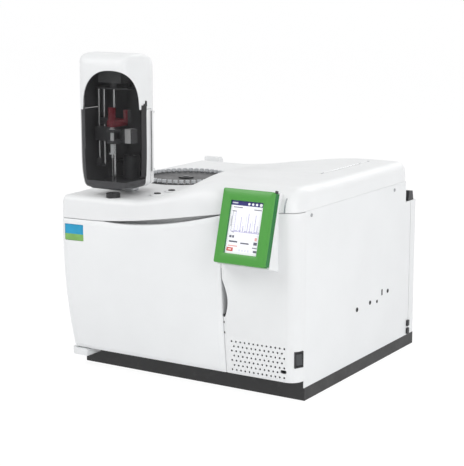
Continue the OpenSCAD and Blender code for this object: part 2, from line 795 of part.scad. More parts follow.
// Fixed hinge brackets: the foot one shows as a rounded lug under the door's left corner.
module door_hinges() {
    color("#dfe1e3") {
        difference() {
            union() {
                rod([hinge_x - 4, hinge_y, ledge_z], 19, lug_top - 1 - ledge_z);
                box([hinge_x - 4, hinge_y - 19, ledge_z], [hinge_x + 30, -hd, lug_top - 1]);
                box([-hw + panel_t, hinge_y, ledge_z], [hinge_x + 30, -hd, lug_top - 1]);
            }
            rod([hinge_x, hinge_y, ledge_z - 3], pin_r, 40);
        }
        difference() {
            union() {
                rod([hinge_x, hinge_y, rail_top], 9, 14);
                box([hinge_x - 7, hinge_y, rail_top], [hinge_x + 5, panel_front + 22, rail_top + 4]);
            }
            rod([hinge_x, hinge_y, rail_top - 3], pin_r, 40);
        }
    }
}

// Oven -----------------------------------------------------------------------

function cavity_z0() = deck_plate_z - 1 - insulation_t - cavity_h;
cavity_front = panel_front;
cavity_back = cavity_front + cavity_d;
liner_t = 2;
module cavity_box(grow, front_extra, back_extra) {
    box([cavity_x() - cavity_w / 2 - grow, cavity_front - front_extra, cavity_z0() - grow],
        [cavity_x() + cavity_w / 2 + grow, cavity_back + back_extra, cavity_z0() + cavity_h + grow]);
}
flange = 26;
module oven_liner() {
    color("#b4b8bb") difference() {
        union() {
            cavity_box(liner_t, 0, liner_t);
            box([cavity_x() - cavity_w / 2 - flange, cavity_front, cavity_z0() - flange],
                [cavity_x() + cavity_w / 2 + flange, cavity_front + 2, cavity_z0() + cavity_h + flange]);
        }
        cavity_box(0, 5, 0);
        for (p = injector_xy) rod([p[0], p[1], cavity_z0() + cavity_h - 1], 6.5, 9);
        for (p = detector_xy) rod([p[0], p[1], cavity_z0() + cavity_h - 1], 6.5, 9);
        rod_y([cavity_x(), cavity_back - 1, fan_z], 7, 9);
        along_y(cavity_back - 1, cavity_back + 9) translate([duct_x, duct_z]) square([duct_w - 4,
            duct_h - 4], center = true);
    }
}
module oven_insulation() {
    color("#d8cda8") difference() {
        box([cavity_x() - cavity_w / 2 - insulation_t, cavity_front + 2, base_h + floor_t],
            [cavity_x() + cavity_w / 2 + insulation_t, cavity_back + insulation_t, deck_plate_z]);
        cavity_box(liner_t, 9, liner_t);
        for (p = injector_xy) rod([p[0], p[1], cavity_z0() + cavity_h - 1], injector_r + 0.3, 90);
        for (p = detector_xy) rod([p[0], p[1], cavity_z0() + cavity_h - 1], detector_r + 0.3, 90);
        rod_y([cavity_x(), cavity_back - 1, fan_z], 9, 90);
        along_y(cavity_back - 1, cavity_back + 90) translate([duct_x, duct_z]) square([duct_w,
            duct_h], center = true);
    }
}
fan_z = cavity_z0() + cavity_h / 2;
baffle_y = cavity_back - 38;
module fan_baffle() {
    color("#a9adb0") {
        difference() {
            box([cavity_x() - cavity_w / 2 + 12, baffle_y, cavity_z0() + 12],
                [cavity_x() + cavity_w / 2 - 12, baffle_y + 1.5, cavity_z0() + cavity_h - 12]);
            rod_y([cavity_x(), baffle_y - 1, fan_z], 52, 5);
            for (a = [0:30:330]) translate([cavity_x(), 0, fan_z]) rotate([0, a, 0])
                box([-4, baffle_y - 1, 92], [4, baffle_y + 3, 108]);
        }
        for (sx = [-1, 1], sz = [-1, 1])
            rod_y([cavity_x() + sx * (cavity_w / 2 - 24), baffle_y + 1.5,
                fan_z + sz * (cavity_h / 2 - 24)], 4, cavity_back - baffle_y - 1.5);
    }
}
fan_y = baffle_y + 8;
fan_w = 22;
module oven_fan() {
    color("#8d9194") difference() {
        union() {
            rod_y([cavity_x(), fan_y, fan_z], 17, fan_w);
            rod_y([cavity_x(), fan_y + fan_w - 1.5, fan_z], fan_r, 1.5);
            for (i = [0:fan_blades - 1]) translate([cavity_x(), 0, fan_z]) rotate([0,
                i * 360 / fan_blades, 0])
                translate([10, 0, 0]) rotate([0, -24, 0])
                    box([0, fan_y + 1, -0.8], [fan_r - 16, fan_y + fan_w - 0.75, 0.8]);
        }
        rod_y([cavity_x(), fan_y - 1, fan_z], 5 + fit, fan_w + 2);
    }
}
module fan_motor() {
    color("#5e6266") {
        rod_y([cavity_x(), fan_y + 1, fan_z], 5, cavity_back + insulation_t - fan_y);
        rod_y([cavity_x(), cavity_back + insulation_t, fan_z], 40, 62);
        rod_y([cavity_x(), cavity_back + insulation_t, fan_z], 52, 4);
        box([cavity_x() - 30, cavity_back + insulation_t + 8, base_h + floor_t],
            [cavity_x() + 30, cavity_back + insulation_t + 50, fan_z - 30]);
    }
}
heater_r = fan_r + 10;
module heater_coil() {
    color("#7b5a4a") {
        for (y = [fan_y + 4, fan_y + 14]) translate([cavity_x(), y, fan_z]) rotate([90, 0, 0])
            rotate_extrude() translate([heater_r, 0]) circle(r = 2.6);
        for (a = [45:90:315]) translate([cavity_x(), 0, fan_z]) rotate([0, a, 0])
            box([heater_r - 2, fan_y + 2, -3], [heater_r + 1, cavity_back, 3]);
    }
}
coil_y = (cavity_front + baffle_y) / 2 + 10;
cage_half = coil_turns * 2.5 + 4;
cage_ring = 3;
module column_cage() {
    color("#9da1a4") {
        for (y = [coil_y - cage_half, coil_y + cage_half - cage_ring]) difference() {
            rod_y([cavity_x(), y, fan_z], coil_r - 4, cage_ring);
            rod_y([cavity_x(), y - 1, fan_z], coil_r - 9, cage_ring + 2);
        }
        for (a = [0:60:300]) translate([cavity_x(), 0, fan_z]) rotate([0, a, 0])
            rod_y([coil_r - 5, coil_y - cage_half + 1, 0], 1.4, 2 * cage_half - 2);
        // Hanger to the roof of the oven
        for (y = [coil_y - cage_half, coil_y + cage_half - cage_ring])
            box([cavity_x() - 3, y, fan_z + coil_r - 7], [cavity_x() + 3, y + cage_ring,
                fan_z + coil_r + 6]);
        box([cavity_x() - 3, coil_y - cage_half, fan_z + coil_r + 4], [cavity_x() + 3,
            coil_y + cage_half, fan_z + coil_r + 7]);
        rod([cavity_x(), coil_y, fan_z + coil_r + 6], 2.4, cavity_z0() + cavity_h - fan_z - coil_r - 6);
    }
}
module capillary_column() {
    color("#c98b3a") for (i = [0:coil_turns - 1]) translate([cavity_x(),
        coil_y + (i - (coil_turns - 1) / 2) * 4.6, fan_z])
        rotate([90, 0, 0]) rotate_extrude() translate([coil_r - 1.4, 0]) circle(r = 1.9);
}
module exhaust_duct() {
    color("#a5a9ac") along_y(cavity_back + 4, rear_out) translate([duct_x, duct_z]) difference() {
        square([duct_w - 0.4, duct_h - 0.4], center = true);
        square([duct_w - 4, duct_h - 4], center = true);
    }
}
flap_r = 4;
flap_z = duct_z + duct_h / 2 + 6;
module exhaust_flap() {
    color("#b9bdc0") difference() {
        union() {
            rod_x([duct_x - duct_w / 2 - 4, rear_out + flap_r, flap_z], 3, duct_w + 8);
            box([duct_x - duct_w / 2 - 4, rear_out + 1.4, duct_z - duct_h / 2 - 4],
                [duct_x + duct_w / 2 + 4, rear_out + 3, flap_z]);
        }
        rod_x([duct_x - duct_w / 2 - 9, rear_out + flap_r, flap_z], 1.5 + fit, duct_w + 18);
    }
}

// Injectors, detectors and services --------------------------------------------

injector_r = 14;
injector_cap_r = 19;
detector_r = 14;
detector_xy = [[12, -52], [48, -52]];
module injector_bodies() {
    color("#aab0b4") for (p = injector_xy) difference() {
        union() {
            rod([p[0], p[1], cavity_z0() + cavity_h + liner_t], injector_r,
                deck_at(p[1]) - 6 - cavity_z0() - cavity_h - liner_t);
            rod([p[0], p[1], cavity_z0() + cavity_h - 16], 5, 20);
            rod([p[0], p[1], cavity_z0() + cavity_h - 22], 1, 8);
        }
        rod([p[0], p[1], needle_tip - needle_travel - 12], 2, 90);
    }
}
module injector_caps() {
    color("#161719") for (p = injector_xy) translate([p[0], p[1], deck_at(p[1]) - 6]) difference() {
        union() {
            cylinder(r = injector_cap_r, h = 10);
            translate([0, 0, 10]) cylinder(r1 = 11, r2 = 8, h = 2);
        }
        translate([0, 0, -1]) cylinder(r = 2.5, h = 20);
    }
}
module detector_bodies() {
    color("#b7bbbe") for (p = detector_xy) {
        rod([p[0], p[1], cavity_z0() + cavity_h + liner_t], detector_r,
            deck_plate_z + 32 - cavity_z0() - cavity_h - liner_t);
        rod([p[0], p[1], deck_plate_z + 31], 8, 16);
        rod([p[0], p[1], cavity_z0() + cavity_h - 16], 5, 20);
    }
}
station_r = 17;
module wash_station() {
    color("#17181a") difference() {
        union() {
            rod([needle_x, needle_y, deck_plate_z + 2], station_r, deck_at(needle_y) + 9 - deck_plate_z);
            rod([needle_x, needle_y, deck_plate_z + 2], station_r + 6, 3);
        }
        rod([needle_x, needle_y, deck_plate_z + 6], 6, 60);
        for (a = [60, 180, 300]) translate([needle_x, needle_y, deck_plate_z + 18]) rotate([0, 0, a])
            translate([11.5, 0, 0]) cylinder(r = 3, h = 60);
    }
}
module power_supply() {
    color("#8f9396") difference() {
        box([bay_x + 30, 60, base_h + floor_t], [frame_x - 30, step_y - 14, base_h + 120]);
        for (i = [0:8]) box([bay_x + 44 + 14 * i, 59, base_h + 30], [bay_x + 50 + 14 * i, 63,
            base_h + 100]);
    }
}
module control_board() {
    color("#2f6b46") {
        box([bay_x + 4, -230, base_h + 30], [bay_x + 6, 30, 360]);
        for (y = [-200, 0], z = [base_h + 50, 340]) rod_x([bay_x + 2, y, z], 3, 2);
        for (y = [-190, -110, -40], z = [130, 220, 300]) box([bay_x + 6, y, z], [bay_x + 10, y + 34,
            z + 30]);
    }
}
module gas_fittings() {
    color("#c9a24a") for (x = fitting_x) {
        rod_y([x, rear_out - 12, fitting_z], 5.6, 24);
        translate([x, rear_out, fitting_z]) rotate([-90, 0, 0]) cylinder(r = 9, h = 6, $fn = 6);
        translate([x, rear_out - panel_t - 4, fitting_z]) rotate([-90, 0, 0]) cylinder(r = 9, h = 4,
            $fn = 6);
    }
}
module power_inlet() {
    color("#131416") difference() {
        union() {
            along_y(rear_out - 26, rear_out) translate([inlet_x, inlet_z]) square([29, 23],
                center = true);
            along_y(rear_out, rear_out + 3) translate([inlet_x, inlet_z]) round_rect(50, 30, 4);
        }
        along_y(rear_out - 14, rear_out + 4) translate([inlet_x, inlet_z]) square([24, 17],
            center = true);
        for (s = [-1, 1]) rod_y([inlet_x + s * 20, rear_out - 1, inlet_z], 1.8, 5);
    }
    color("#b9bcbf") for (x = [-8, 0, 8])
        along_y(rear_out - 15, rear_out - 2) translate([inlet_x + x,
            inlet_z + (x == 0 ? 3 : -3)]) square([2, 4], center = true);
}

// Carousel -------------------------------------------------------------------

vial_foot = cap_top_z - 3 - vial_h;
tray_foot = vial_foot - 3;
tray_top = cap_top_z - 9;
hub_r = 20;
spindle_r = 8;
module vial_seats() {
    for (i = [0:vial_count - 1]) rotate([0, 0, meet_turn + i * 360 / vial_count])
        translate([vial_ring_r, 0, 0]) children();
}
module carousel_tray() {
    color("#191a1c") translate([well_x, well_y, 0]) difference() {
        union() {
            translate([0, 0, tray_foot]) cylinder(r = tray_r, h = tray_top - tray_foot);
            translate([0, 0, tray_foot]) cylinder(r = hub_r, h = tray_top + 3 - tray_foot);
        }
        translate([0, 0, tray_foot - 1]) difference() {
            cylinder(r = vial_ring_r - 11, h = tray_top - 3 - tray_foot);
            cylinder(r = hub_r, h = 60);
            for (a = [0:60:300]) rotate([0, 0, a]) translate([0, -1.5, 0]) cube([vial_ring_r, 3, 60]);
        }
        translate([0, 0, tray_foot - 1]) cylinder(r = spindle_r + fit, h = 60);
        vial_seats() translate([0, 0, vial_foot]) cylinder(r = vial_d / 2 + 0.15, h = 60);
    }
}
module vials() {
    color("#c9d3d6") translate([well_x, well_y, 0]) vial_seats() translate([0, 0,
        vial_foot]) difference() {
        union() {
            cylinder(r = vial_d / 2, h = vial_h - 5);
            cylinder(r = 4, h = vial_h);
        }
        translate([0, 0, 1.2]) cylinder(r = 2.8, h = vial_h);
    }
}
module vial_caps() {
    color("#e4e6e8") translate([well_x, well_y, 0]) vial_seats() translate([0, 0,
        vial_foot + vial_h - 4]) difference() {
        cylinder(r = vial_d / 2 - 0.3, h = 7);
        translate([0, 0, -1]) cylinder(r = 4.02, h = 5);
        cylinder(r = 2.6, h = 8);
    }
}
module carousel_drive() {
    color("#4d5155") {
        rod([well_x, well_y, deck_plate_z + 2], 48, tray_foot - 1 - deck_plate_z - 2);
        rod([well_x, well_y, deck_plate_z + 2], spindle_r, tray_top + 5 - deck_plate_z - 2);
    }
}

// Autosampler tower ------------------------------------------------------------

tower_wall = 3;
shell_wall = 2.5;
door_joint = 1;

// Plan with tighter corners at the front than at the back
module tower_plan(inset) {
    w = tower_w / 2 - inset;
    d = tower_d / 2 - inset;
    f = tower_front_r - inset;
    r = tower_rear_r - inset;
    translate([-w, f - d]) square([2 * w, 2 * d - f - r]);
    translate([f - w, -d]) square([2 * (w - f), f + 1]);
    translate([r - w, d - r - 1]) square([2 * (w - r), r + 1]);
    for (sx = [-1, 1]) {
        translate([sx * (w - f), f - d]) circle(r = f);
        translate([sx * (w - r), d - r]) circle(r = r);
    }
}
// Side view: upright front with a tapered foot, domed top and straight back. down opens the foot.
crown_y = tower_front + 60;
function tower_side(down) = let (rear = tower_y + tower_d / 2) concat(
    [[tower_front + 18, shell_rim_z - down]],
    [for (i = [0:5]) let (u = i / 5) [tower_front + 18 * pow(1 - u, 2), shell_rim_z + 125 * u]],
    [for (a = [0:11.25:90])
        [crown_y - 60 * pow(cos(a), 0.714), tower_top - 44 + 44 * pow(sin(a), 0.714)]],
    [for (a = [78.75:-11.25:0])
        [crown_y + (rear - crown_y) * pow(cos(a), 0.87), tower_top - 79 + 79 * pow(sin(a), 0.87)]],
    [[rear, shell_rim_z - down]]);
// Front view: square shoulders and a tapered chin.
top_corner = 10;
chin_w = 36;
chin_h = 95;
function tower_half(down) = concat(
    [for (a = [0:30:90])
        [tower_w / 2 - top_corner * (1 - sin(a)), tower_top - top_corner * (1 - cos(a))]],
    [for (a = [0:11.25:90])
        [tower_w / 2 - chin_w * (1 - cos(a)), shell_rim_z + chin_h * (1 - sin(a))]],
    [[tower_w / 2 - chin_w - 1, shell_rim_z - down]]);
function tower_face(down) = let (half = tower_half(down), n = len(half)) concat(
    [for (p = half) [tower_x + p[0], p[1]]],
    [for (i = [n - 1:-1:0]) [tower_x - half[i][0], half[i][1]]]);
module tower_form(inset, down = 0) {
    intersection() {
        translate([tower_x, tower_y, shell_rim_z - 20]) linear_extrude(height = 400) tower_plan(inset);
        along_x(-big, big) offset(delta = -inset) polygon(tower_side(down));
        along_y(-big, big) offset(delta = -inset) polygon(tower_face(down));
    }
}
door_line_y = tower_y + 34.5;
// Region of the smoked door: an arch in the front view, in front of the line of its hinge.
arch_z = tower_top - 117;
module door_zone(gap) {
    intersection() {
        along_y(tower_front - 20, door_line_y - gap) polygon(concat(
            [[tower_x + tower_w, shell_rim_z - 40], [tower_x + tower_w, arch_z - gap]],
            [for (a = [0:9:90])
                [tower_x + 20 - gap + (tower_w / 2 - 23) * cos(a), arch_z + (77 - gap) * sin(a)]],
            [for (a = [90:-9:0])
                [tower_x - 20 + gap - (tower_w / 2 - 23) * cos(a), arch_z + (77 - gap) * sin(a)]],
            [[tower_x - tower_w, arch_z - gap], [tower_x - tower_w, shell_rim_z - 40]]));
        box([-big, -big, shell_rim_z - 30], [big, big, tower_top]);
    }
}
knuckle_x = tower_x + tower_w / 2 + 0.6;
knuckle_y = door_line_y;
knuckle_out = 2.6;
strip_z0 = shell_rim_z + 44;
strip_h = 132;
lug_h = 6;
module tower_hood() {
    color("#eef0f1") difference() {
        union() {
            difference() {
                tower_form(0);
                tower_form(tower_wall, 12);
                door_zone(0);
                box([-big, -big, shell_rim_z - 50], [0, 0, hood_foot]);
                rod([knuckle_x, knuckle_y, strip_z0 - 0.5], knuckle_out + touch, strip_h + 1);
            }
            // Lugs of the smoked door's hinge
            for (z = [strip_z0 - lug_h - 0.5, strip_z0 + strip_h + 0.5]) {
                rod([knuckle_x, knuckle_y, z], knuckle_out, lug_h);
                box([knuckle_x - 2.4, knuckle_y, z], [knuckle_x + 0.8, knuckle_y + 9, z + lug_h]);
            }
        }
        rod([knuckle_x, knuckle_y, strip_z0 - 20], strip_pin_r, strip_h + 40);
    }
}
strip_pin_r = 1.2;
module tower_door() {
    color("#50565a") difference() {
        union() {
            intersection() {
                difference() {
                    tower_form(0.2);
                    tower_form(shell_wall, 12);
                }
                door_zone(door_joint);
            }
            rod([knuckle_x, knuckle_y, strip_z0], knuckle_out, strip_h);
            box([knuckle_x - 2.2, knuckle_y - 7, strip_z0], [knuckle_x + 0.9, knuckle_y - 1,
                strip_z0 + strip_h]);
        }
        rod([knuckle_x, knuckle_y, strip_z0 - 2], strip_pin_r + fit, strip_h + 4);
        for (z = [strip_z0 - lug_h - 0.8, strip_z0 + strip_h + 0.2]) {
            rod([knuckle_x, knuckle_y, z], knuckle_out + touch, lug_h + 0.6);
        }
    }
}
plate_y = tower_y + tower_d / 2 - tower_wall;
rail_dx = [-49, -33];
rail_y = tower_y - 15.5;
rail_r = 3;
screw_dx = -3;
screw_r = 3.5;
head_z = 692;
foot_z = 505;
// Room that the smoked door sweeps through in front of its hinge
module door_sweep(z0, z1, r) {
    difference() {
        box([-big, -big, z0], [0, door_line_y + 2, z1]);
        rod([knuckle_x, knuckle_y, z0 - 1], r, z1 - z0 + 2);
    }
}
module tower_chassis() {
    color("#85898d") difference() {
        union() {
            // Floor, back plate, rail foot, head shelf and uprights
            intersection() {
                tower_form(tower_wall + touch, 12);
                union() {
                    box([-big, tower_y - 36, floor_z], [big, plate_y, floor_z + 6]);
                    box([tower_x - 30, plate_y - 4, floor_z], [tower_x + 30, plate_y, tower_top - 60]);
                    box([tower_x - 57, rail_y - 9, foot_z], [tower_x - 26, plate_y, foot_z + 5]);
                    box([tower_x - 50, rail_y - 16, head_z], [tower_x + 50, plate_y, head_z + 4]);
                    box([tower_x - 58, rail_y + 10, head_z], [tower_x - 50, rail_y + 40, head_z + 4]);
                    box([tower_x - 58, rail_y + 10, foot_z], [tower_x - 54, rail_y + 32, head_z + 4]);
                    box([tower_x + 50, plate_y - 42, floor_z], [tower_x + 54, plate_y - 18, head_z + 4]);
                }
            }
            rod([axis_x, axis_y, floor_z - 0.5], post_r + 3.5, 62);
            // Bracket low on the left
            box([tower_x - 50, rail_y - 18, foot_z], [tower_x - 38, rail_y - 9, foot_z + 19]);
        }
        door_sweep(floor_z - 20, foot_z - 1, 120);
        door_sweep(foot_z - 1, tower_top, 137);
        rod([axis_x, axis_y, floor_z - 5], post_r + fit, 80);
        for (x = rail_dx) rod([tower_x + x, rail_y, foot_z - 1], rail_r, 400);
        rod([tower_x + screw_dx, rail_y, floor_z + 1], screw_r, 400);
    }
}
module tower_rods() {
    color("#cfd2d4") {
        for (x = rail_dx) rod([tower_x + x, rail_y, foot_z], rail_r, head_z + 4 - foot_z);
        rod([tower_x + screw_dx, rail_y, floor_z + 1], screw_r, head_z + 14 - floor_z);
        rod([knuckle_x, knuckle_y, strip_z0 - lug_h - 1.5], strip_pin_r, strip_h + 2 * lug_h + 3);
    }
}
module tower_motor() {
    color("#7d8185") {
        box([tower_x - 34, rail_y - 22, head_z + 16], [tower_x + 34, rail_y + 28, head_z + 52]);
        difference() {
            rod([tower_x + screw_dx, rail_y, head_z + 4], 9, 13);
            rod([tower_x + screw_dx, rail_y, head_z + 3], screw_r, 12.5);
        }
        for (x = [-30, 26]) box([tower_x + x, rail_y + 16, head_z + 4], [tower_x + x + 4,
            rail_y + 26, head_z + 16]);
    }
}
barrel_z0 = 544;
barrel_h = 61;
barrel_r = 4.4;
block_z0 = 566;
block_z1 = 600;
module syringe_carriage() {
    color("#d5d8da") difference() {
        union() {
            // Slide block on the rails, two arms to the syringe and a side block
            box([tower_x + rail_dx[0] - 7, rail_y - 9, block_z0], [tower_x + screw_dx + 8,
                rail_y + 9, block_z1]);
            for (z = [block_z0, block_z1 - 7]) {
                box([needle_x - 9, needle_y - 9, z], [needle_x + 9, rail_y - 3, z + 7]);
                box([tower_x + screw_dx, rail_y - 9, z], [needle_x + 9, rail_y - 3, z + 7]);
            }
            box([needle_x + 12, rail_y - 20, block_z0], [tower_x + 63, rail_y + 2, block_z1]);
            box([needle_x + 8, rail_y - 9, block_z0], [needle_x + 13, rail_y - 3, block_z0 + 7]);
        }
        for (x = rail_dx) rod([tower_x + x, rail_y, block_z0 - 5], rail_r + fit, 50);
        rod([tower_x + screw_dx, rail_y, block_z0 - 5], screw_r + fit, 50);
        rod([needle_x, needle_y, block_z0 - 5], barrel_r, 50);
    }
}
module syringe() {
    color("#cfe0e6") difference() {
        union() {
            rod([needle_x, needle_y, barrel_z0], barrel_r, barrel_h);
            rod([needle_x, needle_y, barrel_z0 - 3], 7.5, 3);
            rod([needle_x, needle_y, block_z1], 7, 2);
            rod([needle_x, needle_y, barrel_z0 - 12], 2, 10);
            rod([needle_x, needle_y, needle_tip], 0.5, barrel_z0 - 3 - needle_tip);
        }
        rod([needle_x, needle_y, barrel_z0 + 4], 1.5 + fit, barrel_h);
    }
}
plunger_z = barrel_z0 + barrel_h + 1;
module plunger_carriage() {
    color("#b3323a") difference() {
        union() {
            box([needle_x - 8, needle_y - 9, plunger_z], [needle_x + 9, rail_y - 8, plunger_z + 16]);
            box([tower_x + rail_dx[1] - 7, rail_y - 8, plunger_z], [needle_x + 9, rail_y + 8,
                plunger_z + 16]);
            rod([needle_x, needle_y, plunger_z + 16], 9, 30);
            box([needle_x + 9, rail_y - 8, plunger_z + 8], [needle_x + 24, rail_y + 2, plunger_z + 38]);
            rod([needle_x, needle_y, barrel_z0 + 6], 1.5, plunger_z - barrel_z0 - 5);
        }
        rod([tower_x + rail_dx[1], rail_y, plunger_z - 5], rail_r + fit, 50);
        rod([tower_x + screw_dx, rail_y, plunger_z - 5], screw_r + fit, 50);
    }
}
module tower_post() {
    color("#6a6e72") {
        rod([axis_x, axis_y, deck_plate_z + 2], post_r, floor_z + 60 - deck_plate_z - 2);
        rod([axis_x, axis_y, deck_plate_z + 2], post_r + 9, 5);
    }
}

base_tray();
chassis();
left_side_panel();
right_side_panel();
rear_panel();
panel_screws();
side_ports();
rear_clips();
top_cover();
rear_cowl();
hinge_pins();
front_column();
intake_grille();
status_light();
front_port();
power_switch_frame();
power_rocker();
screen_pod();
screen_bezel();
lcd_module();
stylus();
door_panel();
door_liner();
door_insulation();
door_gasket();
door_latch();
badge_plate();
door_hinges();
oven_liner();
oven_insulation();
fan_baffle();
oven_fan();
fan_motor();
heater_coil();
column_cage();
capillary_column();
exhaust_duct();
exhaust_flap();
injector_bodies();
injector_caps();
detector_bodies();
detector_lid();
wash_station();
power_supply();
control_board();
gas_fittings();
power_inlet();
carousel_tray();
vials();
vial_caps();
carousel_drive();
tower_post();
tower_chassis();
tower_hood();
tower_door();
tower_rods();
tower_motor();
syringe_carriage();
syringe();
plunger_carriage();
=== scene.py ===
"""Dresses the bench-top gas chromatograph: covers, door, tower, screen, finishes and stage."""
import json
import math

import bmesh
import bpy
import numpy as np
from mathutils import Matrix, Vector


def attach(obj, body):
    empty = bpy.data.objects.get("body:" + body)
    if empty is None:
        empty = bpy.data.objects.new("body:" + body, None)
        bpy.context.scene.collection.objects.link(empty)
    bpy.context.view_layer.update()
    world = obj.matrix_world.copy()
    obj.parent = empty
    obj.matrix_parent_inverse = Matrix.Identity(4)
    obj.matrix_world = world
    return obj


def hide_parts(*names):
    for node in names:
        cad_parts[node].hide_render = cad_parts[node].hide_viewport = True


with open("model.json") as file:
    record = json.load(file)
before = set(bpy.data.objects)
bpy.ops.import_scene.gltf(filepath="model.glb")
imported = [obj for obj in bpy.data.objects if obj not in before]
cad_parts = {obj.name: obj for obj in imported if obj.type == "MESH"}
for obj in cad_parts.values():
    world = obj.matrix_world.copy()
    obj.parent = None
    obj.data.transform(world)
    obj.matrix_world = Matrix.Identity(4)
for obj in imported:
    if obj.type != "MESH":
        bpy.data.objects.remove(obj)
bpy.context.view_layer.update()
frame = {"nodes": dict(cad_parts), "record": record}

bl_info = {
    "name": "Gas Chromatograph Dresser",
    "version": (1, 0, 0),
    "blender": (4, 5, 0),
    "location": "View3D > Sidebar > Chromatograph",
    "description": "Builds covers, tower, screen and finishes of a gas chromatograph",
    "category": "Object",
}

MM = 0.001

# Heights and planes of the body in millimetres, in the frame's axes.
SKIRT_Z = 50.0
BOW_Z = 365.0
REAR_TOP = 387.0
STEP_Y = 233.0
DECK_FOOT = 372.0
DOOR_BACK = -304.0
COLUMN_BACK = -298.0
WAIST_Y = -113.0
FRONT_REACH = 227.0
REAR_REACH = 361.0
EDGE_ROLL = 2.5
DECK_CUT = (430, 520)

# Holes in the deck: centre, radius, width of the lip and height of the lip's foot.
WELL = (-186.0, -30.0)
POST = (-206.02, -240.99)
WASH = (-186.0, -344.0)
INJECTORS = ((-106.22, -273.42), (-104.20, -215.60))
HOLES = ((WELL, 124.0, 2.5, 403.0), (POST, 18.0, 1.0, 428.0), (WASH, 17.6, 0.8, 424.0),
         *((place, 19.6, 0.8, 426.0) for place in INJECTORS))
RING_N = 128

# Radius and height along the injectors' rims and nuts.
RIM = ((18.6, 434), (18.6, 440.4), (18.0, 441.6), (16.6, 442.2), (9.6, 443.0), (9.0, 442.4),
       (9.0, 436))
NUT = ((8.4, 434), (8.4, 444.2), (7.6, 445.2), (2.4, 445.2), (1.8, 444.4), (0.01, 444.4))

# The detector lid: left, right, front and rear edge, and its hinge line in X and Z.
LID = (-10.0, 223.0, -70.0, 205.0)
LID_AXIS = (226.0, 490.8)
LID_GAP = 1.0
LID_BARREL = (2.2, 40)

# Openings of the front: the slit beside the screen, the port and the scoop, whose foot, head and
# width are given, with the buffers under it by drop, width and height.
SLIT = (283.0, 457.0)
PORT = (284.0, 75.0)
SCOOP = (186.0, 300.0, 20.0)
SCOOP_BACK = -316.0
BUFFERS = ((-3, 7.0, 8.0), (13, 6.0, 6.0), (38, 4.4, 5.5))
LEDGE = (-298, 122, 425)
GRILLE = (149.0, 61.0)
GRILLE_PITCH = 11.4
GRILLE_ROWS = 7
GRILLE_COLUMNS = 13
GRILLE_R = 2.5
SWITCH_Z = 104.0
SWITCH_AXIS = (287, -308)
SWITCH_TURN = -24.0
BADGE = (-278.0, 348.0, 54.0, 40.0)
SCREEN_CORNER = (133.0, -352.0, 489.0)

# The tower: the room it stands in, the height its crown springs from, and its grip's ends.
TOWER_ROOM = ((-400, -500, 400), (0, -100, 900))
CROWN_Z = 694.0
GRIP_Z = (482, 655)
BARREL_Z = (493.5, 632.5)

# The stage: the camera's place in millimetres, its turn in radians and its lens, and for each lamp
# its place and aim in metres, its size and its watts.
CAMERA = (1759.9, -2921.4, 970.9)
CAMERA_TURN = (0.5584, 0.1908)
CAMERA_LENS = 105.07
LAMPS = (("key_lamp", (-1.6, -2.6, 2.9), (0, -0.2, 0.4), 1.8, 44),
         ("fill_lamp", (3.2, -1.2, 1.5), (0.2, 0, 0.3), 2.4, 38),
         ("back_lamp", (0.6, 2.6, 2.6), (0, 0, 0.4), 2.0, 30))

# Distance in metres under which corners are merged.
MERGE = 2e-6


def length(name, text, value, low, high):
    """A length property given in millimetres and kept in metres."""
    return bpy.props.FloatProperty(name=name, description=text, default=value * MM, min=low * MM,
                                   max=high * MM, subtype='DISTANCE', unit='LENGTH', precision=4)


def colour(name, text, value):
    """A colour property."""
    return bpy.props.FloatVectorProperty(name=name, description=text, default=value, size=3,
                                         min=0.0, max=1.0, subtype='COLOR')


class ChromBodySizes(bpy.types.PropertyGroup):
    """Sizes of the body's covers."""
    width: length("Width", "Width over the side panels", 630, 610, 660)
    front_y: length("Front plane", "Place of the front's right end", -336, -340, -330)
    bow_depth: length("Bow", "Extra bow of the front at its fullest", 40, 30, 46)
    bow_foot: length("Bow at the foot", "Bow of the front at its foot", 6, 3, 9)
    seam_low: length("Seam height", "Seam height at the left end of the front", 382, 378, 388)
    panel_top: length("Panel top", "Seam height at the right end of the front", 442, 436, 450)
    crescent: length("Finger gap", "Depth of the crescent gap above the door", 11, 6, 13)
    corner: length("Right corner", "Radius of the right front corner", 28, 22, 32)
    edge: length("Left edge", "Radius of the left edges", 9, 7, 12)
    wall: length("Wall", "Wall of the moulded covers", 3, 2.5, 3.5)
    deck_z: length("Deck", "Height of the left deck at the back", 450, 448, 451)
    shoulder_z: length("Shoulder", "Height of the right shoulder", 491, 488, 496)
    rear_y: length("Cover rear", "Rear end of the top cover", 248, 244, 252)
    seam: length("Seam", "Width of the seams between covers", 2, 1.5, 2.5)


class ChromTowerSizes(bpy.types.PropertyGroup):
    """Sizes of the sampler tower."""
    x: length("Centre X", "Tower centre across", -207, -215, -200)
    y: length("Centre Y", "Tower centre in depth", -286.5, -292, -280)
    width: length("Width", "Width of the tower", 145, 142, 150)
    depth: length("Depth", "Depth of the tower", 157, 154, 160)
    top: length("Top", "Height of the tower's top", 779, 765, 800)
    rim: length("Rim", "Lower rim of the smoked shell", 455.9, 455, 459)
    front_r: length("Front corners", "Radius of the front corners", 32, 26, 40)
    rear_r: length("Rear corners", "Radius of the rear corners", 58, 50, 60)


